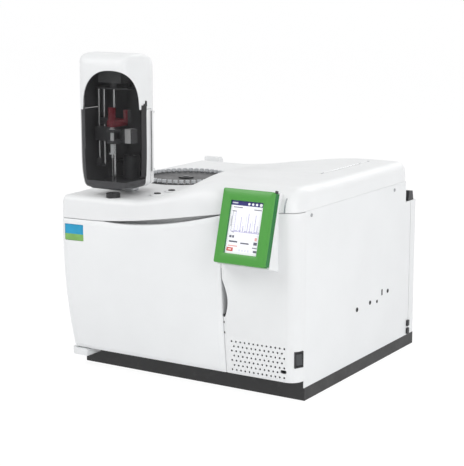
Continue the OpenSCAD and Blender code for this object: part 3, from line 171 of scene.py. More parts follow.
class ChromScreenSizes(bpy.types.PropertyGroup):
    """Sizes of the touch screen."""
    width: length("Width", "Width of the bezel", 132, 128, 136)
    height: length("Height", "Length of the bezel up its slope", 170, 160, 174)
    depth: length("Thickness", "Thickness of the bezel", 17, 14, 19)
    lean: bpy.props.FloatProperty(name="Lean", description="Lean of the screen",
                                  min=math.radians(13), default=math.radians(15.8),
                                  max=math.radians(18), subtype='ANGLE', unit='ROTATION')
    window_x: length("Window left", "Left edge of the window", 23.4, 18, 28)
    window_drop: length("Window drop", "Upper edge of the window below the bezel's", 26.5, 22, 30)
    window_w: length("Window width", "Width of the window", 84.5, 76, 86)
    window_h: length("Window height", "Height of the window", 120, 114, 124)


class ChromColours(bpy.types.PropertyGroup):
    """Colours of the finishes."""
    cover: colour("Cover", "Moulded covers", (0.805, 0.815, 0.82))
    panel: colour("Panel", "Coated sheet panels", (0.80, 0.812, 0.818))
    base: colour("Base", "Base tray", (0.022, 0.022, 0.023))
    green: colour("Bezel", "Screen bezel", (0.070, 0.325, 0.048))
    badge_upper: colour("Badge upper", "Upper half of the badge plate", (0.003, 0.34, 0.60))
    badge_lower: colour("Badge lower", "Lower half of the badge plate", (0.17, 0.37, 0.085))
    smoke: colour("Smoked door", "Smoked door of the tower", (0.010, 0.010, 0.011))
    plunger: colour("Plunger", "Plunger head", (0.24, 0.018, 0.032))


# Mesh helpers ---------------------------------------------------------------

def clamp(v):
    """v held between 0 and 1."""
    return np.clip(v, 0.0, 1.0)


def ease(u):
    """Smooth step: 3 u squared minus 2 u cubed, with u held between 0 and 1."""
    c = clamp(u)
    return c * c * (3 - 2 * c)


def quads(rows, columns, wrap=False):
    """Corner numbers of a grid's quads, row by row; wrap joins the last column to the first."""
    i, j = np.meshgrid(np.arange(rows - 1), np.arange(columns if wrap else columns - 1),
                       indexing="ij")
    k = (j + 1) % columns
    return np.stack([i * columns + j, i * columns + k, (i + 1) * columns + k,
                     (i + 1) * columns + j], -1).reshape(-1, 4)


def mesh_from(name, points, faces):
    """A mesh from millimetre points and lists of corner numbers."""
    mesh = bpy.data.meshes.new(name)
    mesh.from_pydata((np.asarray(points, dtype=float).reshape(-1, 3) * MM).tolist(), [],
                     [list(map(int, f)) for f in faces])
    mesh.update()
    return mesh


def tidy(mesh, outward=True):
    """Merges doubles, drops empty faces and, unless told not to, turns all faces outwards."""
    bm = bmesh.new()
    bm.from_mesh(mesh)
    bmesh.ops.remove_doubles(bm, verts=bm.verts, dist=MERGE)
    bmesh.ops.dissolve_degenerate(bm, edges=bm.edges, dist=MERGE)
    if outward:
        bmesh.ops.recalc_face_normals(bm, faces=bm.faces)
    bm.to_mesh(mesh)
    bm.free()
    return mesh


def new_object(name, data):
    """An object at the origin, linked to the scene."""
    obj = bpy.data.objects.new(name, data)
    bpy.context.scene.collection.objects.link(obj)
    return obj


def bake_modifiers(obj):
    """Replaces the object's mesh by its modified mesh."""
    bpy.context.view_layer.update()
    graph = bpy.context.evaluated_depsgraph_get()
    mesh = bpy.data.meshes.new_from_object(obj.evaluated_get(graph))
    obj.modifiers.clear()
    old = obj.data
    obj.data = mesh
    bpy.data.meshes.remove(old)
    return obj


def solidify(obj, thickness):
    """Gives an outward surface a wall of the thickness on its inner side."""
    mod = obj.modifiers.new("Wall", 'SOLIDIFY')
    mod.thickness = thickness * MM
    mod.offset = -1.0
    mod.use_even_offset = True
    mod.thickness_clamp = 1.6
    return bake_modifiers(obj)


def carve(obj, mesh, how='DIFFERENCE'):
    """Cuts the object with a closed mesh, or keeps what they share."""
    tool = new_object("carving_tool", mesh)
    mod = obj.modifiers.new("Cut", 'BOOLEAN')
    mod.operation = how
    mod.solver = 'EXACT'
    mod.object = tool
    bake_modifiers(obj)
    bpy.data.objects.remove(tool)
    bpy.data.meshes.remove(mesh)
    if not len(obj.data.polygons):
        raise RuntimeError("a cut left nothing of " + obj.name)
    return obj


def prism(outline, low, high, axis):
    """A closed prism of a convex or concave outline, carried along an axis from low to high."""
    flat = np.asarray(outline, dtype=float)
    n = len(flat)
    ends = []
    for level in (low, high):
        p = np.full((n, 3), float(level))
        p[:, [k for k in range(3) if k != axis]] = flat
        ends.append(p)
    i = np.arange(n)
    sides = np.stack([i, (i + 1) % n, (i + 1) % n + n, i + n], -1)
    faces = [list(range(n))[::-1], list(range(n, 2 * n))] + sides.tolist()
    return tidy(mesh_from("prism", np.concatenate(ends), faces))


def ring_points(radius, n, centre=(0.0, 0.0)):
    """n points of a circle."""
    a = np.arange(n) * 2 * np.pi / n
    return np.stack([centre[0] + radius * np.cos(a), centre[1] + radius * np.sin(a)], -1)


def rounded(width, height, radius, centre=(0.0, 0.0), n=10):
    """Outline of a rounded rectangle, anticlockwise: four quarter circles joined by straights."""
    a = np.linspace(0, np.pi / 2, n)
    out = []
    for k, (sx, sy) in enumerate(((1, 1), (-1, 1), (-1, -1), (1, -1))):
        t = a + k * np.pi / 2
        out.append(np.stack([centre[0] + sx * (width / 2 - radius) + radius * np.cos(t),
                             centre[1] + sy * (height / 2 - radius) + radius * np.sin(t)], -1))
    return np.concatenate(out)


def join_meshes(name, meshes):
    """One mesh out of several."""
    bm = bmesh.new()
    for mesh in meshes:
        bm.from_mesh(mesh)
    whole = bpy.data.meshes.new(name)
    bm.to_mesh(whole)
    bm.free()
    for mesh in meshes:
        bpy.data.meshes.remove(mesh)
    return whole


def add_part(obj, mesh):
    """Adds a mesh to an object as one more island."""
    bm = bmesh.new()
    bm.from_mesh(obj.data)
    bm.from_mesh(mesh)
    bm.to_mesh(obj.data)
    bm.free()
    bpy.data.meshes.remove(mesh)


def lathe(profile, centre, n=96):
    """A profile of (radius, height) pairs turned about a vertical axis."""
    p = np.asarray(profile, dtype=float)
    a = np.arange(n) * 2 * np.pi / n
    pts = np.stack([centre[0] + p[:, :1] * np.cos(a), centre[1] + p[:, :1] * np.sin(a),
                    np.repeat(p[:, 1:], n, 1)], -1)
    return mesh_from("turned", pts, quads(len(p), n, wrap=True))


def dress(obj, body, slot, material, *nodes, angle=32.0):
    """Shades a finished piece, gives it its finish, its body and the CAD nodes it stands for."""
    mesh = obj.data
    mesh.shade_smooth()
    mesh.set_sharp_from_angle(angle=math.radians(angle))
    mesh.materials.clear()
    mesh.materials.append(material)
    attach(obj, body)
    if nodes:
        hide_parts(*nodes)
    return obj


def per_face(mesh, key):
    """The centre or the normal of every face, as rows."""
    values = np.zeros(len(mesh.polygons) * 3, np.float32)
    mesh.polygons.foreach_get(key, values)
    return values.reshape(-1, 3)


def paint_shade_inside(obj, axis, material, right=1e4, foot=-1e4):
    """Gives the faces that look at the upright axis, and lie left of one plane or below another, a
    second finish; used with a dark grey as painted shade on the inside of a shell."""
    mesh = obj.data
    mesh.materials.append(material)
    out = per_face(mesh, "center") / MM
    chosen = (out[:, 0] < right) | (out[:, 2] < foot)
    zero = out[:, 0] * 0
    out = out - np.stack([zero + axis[0], zero + axis[1], np.minimum(out[:, 2], CROWN_Z)], -1)
    facing = (per_face(mesh, "normal") * out).sum(1) / np.maximum(np.linalg.norm(out, axis=1), 1e-6)
    mesh.polygons.foreach_set("material_index", (chosen & (facing < -0.4)).astype(np.int32))


def cut_copy(node, name, low, high, how):
    """A copy of a CAD node's mesh in place, cut by a box."""
    source = object_of(node)
    mesh = source.data.copy()
    mesh.transform(source.matrix_world)
    obj = new_object(name, mesh)
    carve(obj, block(low, high), how)
    return obj


# The body's surfaces ----------------------------------------------------------

class BodyForm:
    """The body's outer surfaces, in millimetres."""

    def __init__(self, scene):
        for key in ChromBodySizes.__annotations__:
            setattr(self, key, getattr(scene.chrom_body, key) / MM)
        self.half = self.width / 2

    def bow(self, z):
        """Foot bow plus the extra bow, which falls off with the 2.2th power of the height from the
        fullest height."""
        return self.bow_foot + self.bow_depth * (1 - (np.abs(BOW_Z - z) / (BOW_Z - SKIRT_Z)) ** 2.2)

    def front(self, x, z):
        """Front plane, pushed out by the bow in proportion to the distance from the right end."""
        return self.front_y - (self.half - x) / self.width * self.bow(z)

    def seam_at(self, x):
        """Seam between the cover and the front, a smooth step up to the right."""
        return self.seam_low + (self.panel_top - self.seam_low) * ease(
            (x + 0.38 * self.width) / (0.88 * self.width))

    def door_top(self, x):
        """The seam less its width and a parabolic crescent."""
        return self.seam_at(x) - self.seam - self.crescent * clamp(1 - ((x + 35) / 165) ** 2)

    @staticmethod
    def door_edge(z):
        """The door's free edge, leaning out towards the foot."""
        return 122 + 8 * clamp((300 - z) / 250)

    @staticmethod
    def ramp(y, front, waist, rear):
        """A waist value that grows with the square of the distance to the front or rear value."""
        ahead = y < WAIST_Y
        k = np.where(ahead, (WAIST_Y - y) / FRONT_REACH, (y - WAIST_Y) / REAR_REACH)
        return waist + (np.where(ahead, front, rear) - waist) * k ** 2

    def top(self, x, y):
        """Deck on the left, shoulder on the right and a smooth rise between two curved lines."""
        low = self.ramp(y, -130, -95, -210)
        high = self.ramp(y, 150, 15, 230)
        deck = self.deck_z - 15 * clamp(-y / 380) ** 0.9
        shoulder = self.shoulder_z + 4 * ease((-80 - y) / 260)
        return deck + (shoulder - deck) * ease((x - low) / (high - low))

    def brow(self, x):
        """Radius of the front brow: small on the left and large on the right."""
        return 15 + 41 * ease((x + 100) / 240)

    def stations(self):
        """Places along X with the inset that rounds both ends as quarter circles."""
        a = np.linspace(np.pi / 2, 0, 9)
        left = np.stack([-self.half + self.edge * (1 - np.sin(a)), self.edge * (1 - np.cos(a))])
        a = np.linspace(0, np.pi / 2, 15)
        right = np.stack([self.half - self.corner * (1 - np.sin(a)), self.corner * (1 - np.cos(a))])
        x = np.linspace(-self.half + self.edge, self.half - self.corner, 122)[1:-1]
        return np.concatenate([left, np.stack([x, x * 0]), right], 1)

    def cover_grid(self):
        """Sections across Y and Z at stations along X: front, brow arc, top, rear arc and rear
        wall. Every section is moved in by the station's inset."""
        x, e = self.stations()
        x, e = x[:, None], e[:, None]
        r = self.brow(x)
        z_top = self.top(x, self.front_y + r) - e
        y0 = self.front(x, z_top - r) + e
        t = np.linspace(0, 1, 14)[None, :-1]
        z = DECK_FOOT + (z_top - r - DECK_FOOT) * t
        front = (self.front(x, z) + e, z)
        a = np.linspace(0, np.pi / 2, 15)[None, :-1]
        brow = (y0 + r * (1 - np.cos(a)), z_top - r * (1 - np.sin(a)))
        rr, y1 = 18.0, self.rear_y - e
        t = np.linspace(0, 1, 84)[None, :-1]
        y = y0 + r + (y1 - rr - y0 - r) * t
        fade = (z_top + e - self.top(x, y0 + r)) * clamp(1 - t / 0.12) ** 2
        top = (y, self.top(x, y) - e + fade)
        z_rear = self.top(x, y1 - rr) - e
        a = np.linspace(0, np.pi / 2, 9)[None, :-1]
        rear = (y1 - rr * (1 - np.sin(a)), z_rear - rr * (1 - np.cos(a)))
        t = np.linspace(0, 1, 8)[None, :]
        fall = (y1 + 0 * t, z_rear - rr + (DECK_FOOT - z_rear + rr) * t)
        yz = [np.concatenate([np.broadcast_to(s[k], (x.shape[0], s[k].shape[1]))
                              for s in (front, brow, top, rear, fall)], 1) for k in (0, 1)]
        return np.stack([np.broadcast_to(x, yz[0].shape), yz[0], yz[1]], -1)

    def cover_mesh(self):
        """The cover's grid, held above the rear part behind the step, with one flat face at each
        end."""
        grid = self.cover_grid()
        rows, columns = grid.shape[:2]
        raised = REAR_TOP + 1
        behind = grid[..., 1] > STEP_Y - 4
        grid[..., 2] = np.where(behind, np.maximum(grid[..., 2], raised), grid[..., 2])
        points, faces = [grid.reshape(-1, 3)], quads(rows, columns).tolist()
        for k, end in enumerate((0, rows - 1)):
            x = grid[end, 0, 0]
            points.append([(x, STEP_Y - 4, raised), (x, STEP_Y - 5, DECK_FOOT)])
            extra = rows * columns + 2 * k
            faces.append(list(range(end * columns, (end + 1) * columns)) + [extra, extra + 1])
        return tidy(mesh_from("cover", np.concatenate(points), faces))

    def lip(self, centre, radius, width, foot):
        """A closed ring round a hole: an upright inner wall whose top rolls over as a quarter
        circle to meet the deck, and an outer wall behind it."""
        a = np.arange(RING_N) * 2 * np.pi / RING_N
        roll = np.linspace(0, np.pi / 2, 6)
        out = radius + width * (1 - np.cos(roll))
        r = np.concatenate([[radius], out, [radius + width, radius]])[:, None]
        x, y = centre[0] + r * np.cos(a), centre[1] + r * np.sin(a)
        xo, yo = centre[0] + (radius + width) * np.cos(a), centre[1] + (radius + width) * np.sin(a)
        level = self.top(xo, yo)[None]
        bottom = foot - level
        z = np.concatenate([bottom, -width * (1 - np.sin(roll))[:, None] + 0 * level, bottom,
                            bottom]) + level
        return tidy(mesh_from("lip", np.stack([x, y, z], -1), quads(len(r), RING_N, wrap=True)))


def seam_tool(form):
    """What is cut off below the cover's seam in front of the step."""
    x = np.linspace(-form.half - 9, form.half + 9, 160)
    seam = form.seam_at(np.clip(x, -form.half, form.half))
    return prism([(x[0], 300), *zip(x, seam), (x[-1], 300)], -500, STEP_Y, 1)


def lid_outline(gap):
    """The detector lid's outline, grown by the gap."""
    x0, x1, y0, y1 = LID
    return rounded(x1 - x0 + 2 * gap, y1 - y0 + 2 * gap, 14 + gap, ((x0 + x1) / 2, (y0 + y1) / 2))


def screen_frame(sizes):
    """Matrix from the screen's own frame: X across, Z up its face, Y into it."""
    return (Matrix.Translation(Vector(SCREEN_CORNER) * MM)
            @ Matrix.Rotation(-sizes.lean, 4, 'X'))


def placed(mesh, matrix):
    """The mesh moved by the matrix."""
    mesh.transform(matrix)
    return mesh


def aimed(place, direction):
    """Matrix at a place in metres whose -Z looks along the direction."""
    turn = direction.to_track_quat('-Z', 'Y').to_matrix().to_4x4()
    return Matrix.Translation(Vector(place)) @ turn


def switch_frame():
    """Matrix of the switch in the rounded corner: X looks outwards."""
    return (Matrix.Translation(Vector((*SWITCH_AXIS, SWITCH_Z)) * MM)
            @ Matrix.Rotation(math.radians(SWITCH_TURN), 4, 'Z')
            @ Matrix.Translation(Vector((28, 0, 0)) * MM))


def block(low, high):
    """A closed box, used only as a carving tool."""
    (x0, y0, z0), (x1, y1, z1) = low, high
    return prism([(x0, y0), (x1, y0), (x1, y1), (x0, y1)], z0, z1, 2)


def panel_grid(form, left, ends, z_low, z_high, back):
    """A front panel as a grid. ends gives, for each column, the place along X as offset plus share
    of the width, and the inset; rows are spaced as quarter circles at both edges. The outermost
    rows and the first column turn back to the back plane."""
    offset, share, inset = ends
    a = np.linspace(0, np.pi / 2, 5)
    near = EDGE_ROLL * (1 - np.cos(a))
    drop = EDGE_ROLL * (1 - np.sin(a))
    t = np.linspace(0, 1, 62)[1:-1]
    row_off = np.concatenate([near, EDGE_ROLL * (1 - 2 * t), -near[::-1]])[:, None]
    row_share = np.concatenate([0 * near, t, 0 * near + 1])[:, None]
    row_in = np.concatenate([drop, 0 * t, drop[::-1]])[:, None]
    z = np.full((len(row_off), len(offset)), 200.0)
    for _ in range(8):
        x0, x1 = left(z), form.half if back == COLUMN_BACK else form.door_edge(z)
        x = x0 + offset[None] + share[None] * (x1 - x0)
        z = z_low + row_off + row_share * (z_high(x) - z_low)
    y = np.minimum(form.front(np.minimum(x, form.half), z) + inset[None] + row_in, back)
    return np.stack([x, y, z], -1)


def skirted(grid, back, sides):
    """The grid with rows and columns added that run straight back to the back plane."""
    def turned(strip):
        strip = strip.copy()
        strip[..., 1] = back
        return strip
    grid = np.concatenate([turned(grid[:1]), grid, turned(grid[-1:])], 0)
    columns = [grid]
    if "left" in sides:
        columns.insert(0, turned(grid[:, :1]))
    if "right" in sides:
        columns.append(turned(grid[:, -1:]))
    return np.concatenate(columns, 1)


# The tower's surface ----------------------------------------------------------

class TowerForm:
    """The tower's rounded form as a signed distance: plan, side and front views blended."""

    def __init__(self, scene):
        for key in ChromTowerSizes.__annotations__:
            setattr(self, key, getattr(scene.chrom_tower, key) / MM)
        self.front = self.y - self.depth / 2
        self.rear = self.y + self.depth / 2
        self.crown = self.front + 60
        self.arch_z = self.top - 117
        self.hinge_y = self.y + 34.5

    @staticmethod
    def blend(a, b, k):
        """Larger of two distances, with a rounding of k where they meet."""
        h = np.clip(k - np.abs(a - b), 0, None) / k
        return np.maximum(a, b) + h * h * k / 4

    def plan(self, x, y):
        """Distance to a rounded rectangle whose corners are tighter in front."""
        r = self.front_r + (self.rear_r - self.front_r) * ease((y - self.y + 20) / 40)
        qx = np.abs(x - self.x) - self.width / 2 + r
        qy = np.abs(y - self.y) - self.depth / 2 + r
        inner = np.minimum(np.maximum(qx, qy), 0)
        return np.hypot(np.maximum(qx, 0), np.maximum(qy, 0)) + inner - r

    def chin(self, z, radius):
        """How far the lowest part draws in, as a quarter circle of the radius."""
        v = clamp(1 - (z - self.rim) / radius)
        return radius * (1 - np.sqrt(1 - np.minimum(v, 0.999) ** 2))

    def side(self, y, z):
        """Distance in the side view: a front that tapers to the foot with the square of the height,
        then superellipses over the crown and down to the straight back."""
        u = clamp((z - self.rim) / 125)
        inset = self.chin(z, 7.0)
        straight = np.maximum(self.front + 8 * (1 - u) ** 2 + inset - y, y - self.rear + inset)
        ahead = y < self.crown
        wide = np.where(ahead, 60.0, self.rear - self.crown)
        tall = np.where(ahead, 44.0, 79.0)
        power = np.where(ahead, 2.8, 2.3)
        dy, dz = np.abs(y - self.crown), np.maximum(z - self.top + tall, 0)
        g = ((dy / wide) ** power + (dz / tall) ** power) ** (1 / power)
        dome = (g - 1) * np.hypot(dy, dz) / np.maximum(g, 1e-6)
        return np.where(dz > 0, dome, straight)

    def flank(self, x, z):
        """Distance in the front view: the left side draws in by 17 mm and the right by 6 mm with
        the square of the depth in the lowest 110 mm, and the right shoulder swells by 8 mm above
        620 mm."""
        u = clamp(1 - (z - self.rim) / 110)
        half = self.width / 2 - self.chin(z, 13.0)
        left = half - 17 * u ** 2 + 2 * np.exp(-((z - 600) / 40) ** 2)
        right = half - 1.5 - 6 * u ** 2 + 8 * ease((z - 620) / 110)
        return np.where(x < self.x, self.x - x - left, x - self.x - right)

    def distance(self, x, y, z):
        """The three views blended, with a softer edge round the crown."""
        return self.blend(self.blend(self.plan(x, y), self.flank(x, z), 6.0), self.side(y, z), 12.0)

    def shell(self, thickness):
        """Rays from an upright axis, and over the crown from its upper end, stopped at the form by
        halving; the grid is given a wall."""
        n = 220
        a = np.arange(n) * 2 * np.pi / n
        low = np.concatenate([np.arange(440.0, 560, 4), np.arange(560.0, 690, 6.5)])
        tilt = np.linspace(0, np.pi / 2, 46)[:-1]
        oz = np.concatenate([low, np.full(len(tilt), CROWN_Z)])[:, None]
        lift = np.concatenate([0 * low, tilt])[:, None]
        near, far = np.zeros((len(oz), n)), np.full((len(oz), n), 160.0)
        ox, oy = self.x, self.y - 2
        for _ in range(34):
            mid = (near + far) / 2
            x, y, z = (ox + mid * np.cos(lift) * np.cos(a), oy + mid * np.cos(lift) * np.sin(a),
                       oz + mid * np.sin(lift))
            inside = self.distance(x, y, z) < 0
            near, far = np.where(inside, mid, near), np.where(inside, far, mid)
        rows = len(oz)
        peak = max(near[-1].mean() * np.sin(tilt[-1]) + CROWN_Z, z[-1].max()) + 0.02
        pts = np.concatenate([np.stack([x, y, z], -1).reshape(-1, 3), [[ox, oy, peak]]])
        k = np.arange(n)
        fan = np.stack([(rows - 1) * n + k, (rows - 1) * n + (k + 1) % n, np.full(n, rows * n)], -1)
        mesh = mesh_from("tower", pts, quads(rows, n, wrap=True).tolist() + fan.tolist())
        return solidify(new_object("tower_shell", tidy(mesh)), thickness)

    def arch(self, x, y):
        """Height of the smoked door's upper edge: a superellipse of power 2.4 over the way round
        the front and the right flank, z = 645 + 95 (1 - |u|^2.4)^(1/2.4)."""
        dx, dy = x - self.x, y - self.front
        s = dx + 0.8 * dy * np.clip(dx / 50, -1, 1)
        u = np.clip(np.abs(s - 33) / 88, 0, 1)
        return self.arch_z - 17 + 95 * (1 - u ** 2.4) ** (1 / 2.4)

    def arch_tool(self, gap):
        """The space under the arch, up to the hinge line, as a box with a formed top."""
        x = np.linspace(self.x - self.width, self.x + self.width, 291)[None]
        y = np.linspace(self.front - 30, self.hinge_y - gap, 74)[:, None]
        z = self.arch(x, y) - gap
        pts = np.stack(np.broadcast_arrays(x, y, z), -1)
        edge = np.concatenate([pts[0, :-1], pts[:-1, -1], pts[-1, :0:-1], pts[:0:-1, 0]])
        foot = edge * (1, 1, 0) + (0, 0, 400.0)
        n, start = len(edge), pts.shape[0] * pts.shape[1]
        walls = quads(2, n, wrap=True) + start
        floor = tuple(start + n + k for k in range(n))[::-1]
        mesh = mesh_from("arch", np.concatenate([pts.reshape(-1, 3), edge, foot]),
                         quads(*pts.shape[:2]).tolist() + walls[:, ::-1].tolist() + [floor])
        return tidy(mesh)


# Finishes -----------------------------------------------------------------------

def add_node(tree, kind, inputs=None, **fields):
    """A node with its fields set, and a constant or a link at each input named or numbered."""
    node = tree.nodes.new("ShaderNode" + kind)
    for key, value in fields.items():
        setattr(node, key, value)
    for key, value in (inputs or {}).items():
        if isinstance(value, bpy.types.NodeSocket):
            tree.links.new(value, node.inputs[key])
        else:
            node.inputs[key].default_value = value
    return node


def largest(tree, first, *others):
    """The largest of several values."""
    for other in others:
        first = add_node(tree, "Math", {0: first, 1: other}, operation='MAXIMUM').outputs[0]
    return first


class Finish:
    """A node material built up step by step on object coordinates in metres."""

    def __init__(self, name):
        self.material = bpy.data.materials.new(name)
        self.material.use_nodes = True
        self.tree = self.material.node_tree
        self.shader = self.tree.nodes["Principled BSDF"]
        self.where = self.node("TexCoord").outputs["Object"]

    def node(self, kind, inputs=None, **fields):
        """A new node of this material."""
        return add_node(self.tree, kind, inputs, **fields)

    def feed(self, value, *sockets):
        """Links a value to inputs of the shader."""
        for socket in sockets:
            self.tree.links.new(value, self.shader.inputs[socket])

    def set(self, **values):
        """Sets constants on the shader's own sockets."""
        for key, value in values.items():
            self.shader.inputs[key.replace("_", " ")].default_value = value
        return self

    def noise(self, scale, detail=3.0, stretch=(1.0, 1.0, 1.0)):
        """Noise of so many features a metre, drawn out along an axis by stretch."""
        place = self.node("Mapping", {"Vector": self.where, "Scale": stretch})
        return self.node("TexNoise", {"Vector": place.outputs["Vector"], "Scale": scale,
                                      "Detail": detail, "Roughness": 0.55}).outputs["Fac"]

    def remap(self, value, low, high, to_low, to_high):
        """Linear change of range, held at both ends."""
        return self.node("MapRange", {"Value": value, "From Min": low, "From Max": high,
                                      "To Min": to_low, "To Max": to_high}).outputs["Result"]

    def mix(self, factor, first, second):
        """Colour between two colours or sockets."""
        first, second = (v if isinstance(v, bpy.types.NodeSocket) else (*v, 1.0)
                         for v in (first, second))
        return self.node("Mix", {"Factor": factor, 6: first, 7: second},
                         data_type='RGBA').outputs[2]

    def tint(self, base, amount, scale, dust=0.0):
        """Base colour with cloudy variation and, in its low spots, a little dust."""
        shade = self.mix(self.remap(self.noise(scale, 4), 0.3, 0.7, 0, 1),
                         tuple(c * (1 - amount) for c in base),
                         tuple(min(1.0, c * (1 + amount)) for c in base))
        if dust:
            spots = self.remap(self.noise(scale * 9, 6), 0.56, 0.78, 0, dust)
            shade = self.mix(spots, shade, (0.36, 0.35, 0.33))
        self.feed(shade, "Base Color")
        return self

    def polish(self, middle, spread, scale, stretch=(1.0, 1.0, 1.0)):
        """Roughness that varies about its middle."""
        rough = self.remap(self.noise(scale, 5, stretch), 0.3, 0.7, middle - spread,
                           middle + spread)
        self.feed(rough, "Roughness")
        return self

    def grain(self, scale, depth, stretch=(1.0, 1.0, 1.0), detail=2.0, wave=None, edge=0.0):
        """Fine relief of the depth in millimetres, over a slower waviness, with softened edges."""
        bump = self.node("Bump", {"Strength": 1.0, "Distance": depth * MM,
                                  "Height": self.noise(scale, detail, stretch)})
        last = bump
        if wave:
            last = self.node("Bump", {"Distance": wave[1] * MM, "Height": self.noise(wave[0], 1.0)})
            self.tree.links.new(last.outputs["Normal"], bump.inputs["Normal"])
        if edge:
            soft = self.node("Bevel", {"Radius": edge * MM}, samples=4)
            self.tree.links.new(soft.outputs["Normal"], last.inputs["Normal"])
        self.feed(bump.outputs["Normal"], "Normal")
        return self


def plastic(name, base, rough=0.42, vary=0.02, grain=(2600, 0.02), dust=0.0, edge=0.35, **more):
    """Moulded plastic with a fine spark-eroded grain."""
    return (Finish(name).set(IOR=1.48, **more).tint(base, vary, 7, dust).polish(rough, 0.05, 24)
            .grain(*grain, wave=(9, 0.03), edge=edge).material)


def coated(name, base, rough=0.5):
    """Powder coat: orange peel of about a millimetre over sheet metal."""
    return (Finish(name).set(IOR=1.5).tint(base, 0.018, 6).polish(rough, 0.05, 30)
            .grain(900, 0.035, detail=1.5, wave=(5, 0.10), edge=0.3).material)


def metal(name, base, rough, stretch, scale, depth=0.006, vary=0.06):
    """Metal with lines of brushing or turning drawn out across one axis."""
    return (Finish(name).set(Metallic=1.0).tint(base, vary, 40).polish(rough, 0.09, 160, stretch)
            .grain(scale, depth, stretch, edge=0.2).material)


def make_finishes(colours):
    """Every finish of the instrument by its slot name."""
    c = {key: tuple(getattr(colours, key)) for key in ChromColours.__annotations__}
    table = {
        "base_black": plastic("Base black", c["base"], 0.5, 0.10, (1500, 0.05), dust=0.05,
                              edge=0.8),
        "sheet_steel": metal("Zinc plated sheet", (0.55, 0.56, 0.57), 0.36, (1, 1, 1), 70, 0.01,
                             0.10),
        "panel_white": coated("White powder coat", c["panel"]),
        "cover_white": plastic("White moulded cover", c["cover"]),
        # Painted light: the door's coat is the panel white made 4.5 per cent lighter.
        "door_white_painted_light": coated("White door coat painted lighter", tuple(min(0.86, v * 1.045) for v in c["panel"])),
        "fastener": metal("Screw head", (0.42, 0.43, 0.44), 0.30, (1, 1, 1), 900),
        "dark_plastic": plastic("Dark plastic", (0.018, 0.018, 0.02), 0.38, 0.15, (2200, 0.03),
                                dust=0.03),
        "rod_steel": metal("Ground steel", (0.70, 0.71, 0.72), 0.16, (1, 1, 30), 500, 0.003, 0.03),
        "light_lens": plastic("Status lens", (0.42, 0.46, 0.48), 0.18, 0.04,
                              Transmission_Weight=0.25),
        "rocker_grey": plastic("Rocker grey", (0.055, 0.058, 0.062), 0.34, 0.05),
        "bezel_green": plastic("Green bezel", c["green"], 0.34, 0.03, (2400, 0.012),
                               Coat_Weight=0.10),
        "insulation": (Finish("Mineral wool").set(Sheen_Weight=0.3)
                       .tint((0.66, 0.60, 0.44), 0.16, 60).polish(0.95, 0.04, 50)
                       .grain(420, 0.9, (1, 1, 3.0), 5, edge=2.5).material),
        "gasket": (Finish("Braided gasket").tint((0.30, 0.31, 0.32), 0.20, 260)
                   .polish(0.8, 0.1, 200).grain(700, 0.5, (1, 1, 2.0), 3, edge=1.0).material),
        "oven_steel": metal("Oven steel", (0.53, 0.52, 0.50), 0.30, (1, 1, 26), 300, 0.008, 0.08),
        "motor_grey": coated("Motor grey", (0.16, 0.165, 0.17), 0.45),
        "heater_alloy": metal("Oxidised heater", (0.20, 0.145, 0.12), 0.55, (1, 1, 1), 400, 0.02,
                              0.25),
        "column_amber": (Finish("Amber column").set(IOR=1.6, Coat_Weight=0.4)
                         .tint((0.36, 0.13, 0.025), 0.18, 90).polish(0.26, 0.06, 120)
                         .grain(700, 0.10, (1, 6, 1)).material),
        "machined_metal": metal("Machined metal", (0.58, 0.59, 0.61), 0.26, (1, 1, 40), 420, 0.008,
                                0.04),
        "board_green": (Finish("Solder mask").set(IOR=1.5, Coat_Weight=0.3)
                        .tint((0.02, 0.12, 0.045), 0.35, 300).polish(0.35, 0.08, 200)
                        .grain(500, 0.05).material),
        "brass": metal("Brass", (0.66, 0.46, 0.17), 0.24, (1, 20, 1), 420, 0.006, 0.05),
        "vial_glass": (Finish("Vial glass").set(IOR=1.47, Transmission_Weight=0.85)
                       .tint((0.86, 0.90, 0.91), 0.02, 60).polish(0.06, 0.03, 90)
                       .grain(160, 0.02).material),
        "cap_grey": plastic("Vial cap", (0.62, 0.64, 0.66), 0.34, 0.06, (1800, 0.02)),
        "tower_grey": coated("Tower frame", (0.088, 0.089, 0.094), 0.40),
        "carriage_white": plastic("Carriage white", (0.80, 0.81, 0.81), 0.4, 0.03),
        "plunger_red": plastic("Plunger red", c["plunger"], 0.30, 0.12, (1500, 0.02),
                               Coat_Weight=0.15),
    }
    smoke = Finish("Smoked shell").set(IOR=1.45, Alpha=0.25, Specular_IOR_Level=0.35)
    smoke.tint(c["smoke"], 0.12, 14).polish(0.085, 0.03, 40).grain(26, 0.02)
    table["smoked"] = smoke.material
    # Partly painted highlight: the syringe's glass barrel is a pale opaque plastic, so it reads as
    # a bright bar.
    table["syringe"] = plastic("Syringe glass painted highlight", (0.80, 0.82, 0.83), 0.10, 0.02, Coat_Weight=0.4)
    badge = Finish("Bare badge").set(IOR=1.5, Coat_Weight=0.2)
    band = badge.node("SeparateXYZ", {"Vector": badge.where})
    upper = badge.remap(band.outputs["Z"], (BADGE[1] - 4.4) * MM, (BADGE[1] - 3.6) * MM, 0, 1)
    glow = badge.remap(badge.noise(30, 2), 0.3, 0.7, 0, 1)
    low = badge.mix(glow, c["badge_lower"], tuple(v * 1.35 for v in c["badge_lower"]))
    high = badge.mix(glow, c["badge_upper"], tuple(v * 0.85 for v in c["badge_upper"]))
    badge.feed(badge.mix(upper, low, high), "Base Color")
    badge.polish(0.32, 0.05, 60).grain(1800, 0.015, edge=0.3)
    table["badge_blue"] = badge.material
    glass = Finish("Display glass").set(IOR=1.5, Coat_Weight=0.15)
    glass.tint((0.03, 0.035, 0.045), 0.1, 30).polish(0.16, 0.03, 50).grain(900, 0.006)
    table["screen_glass"] = glass.material
    return table


FINISHES = {}


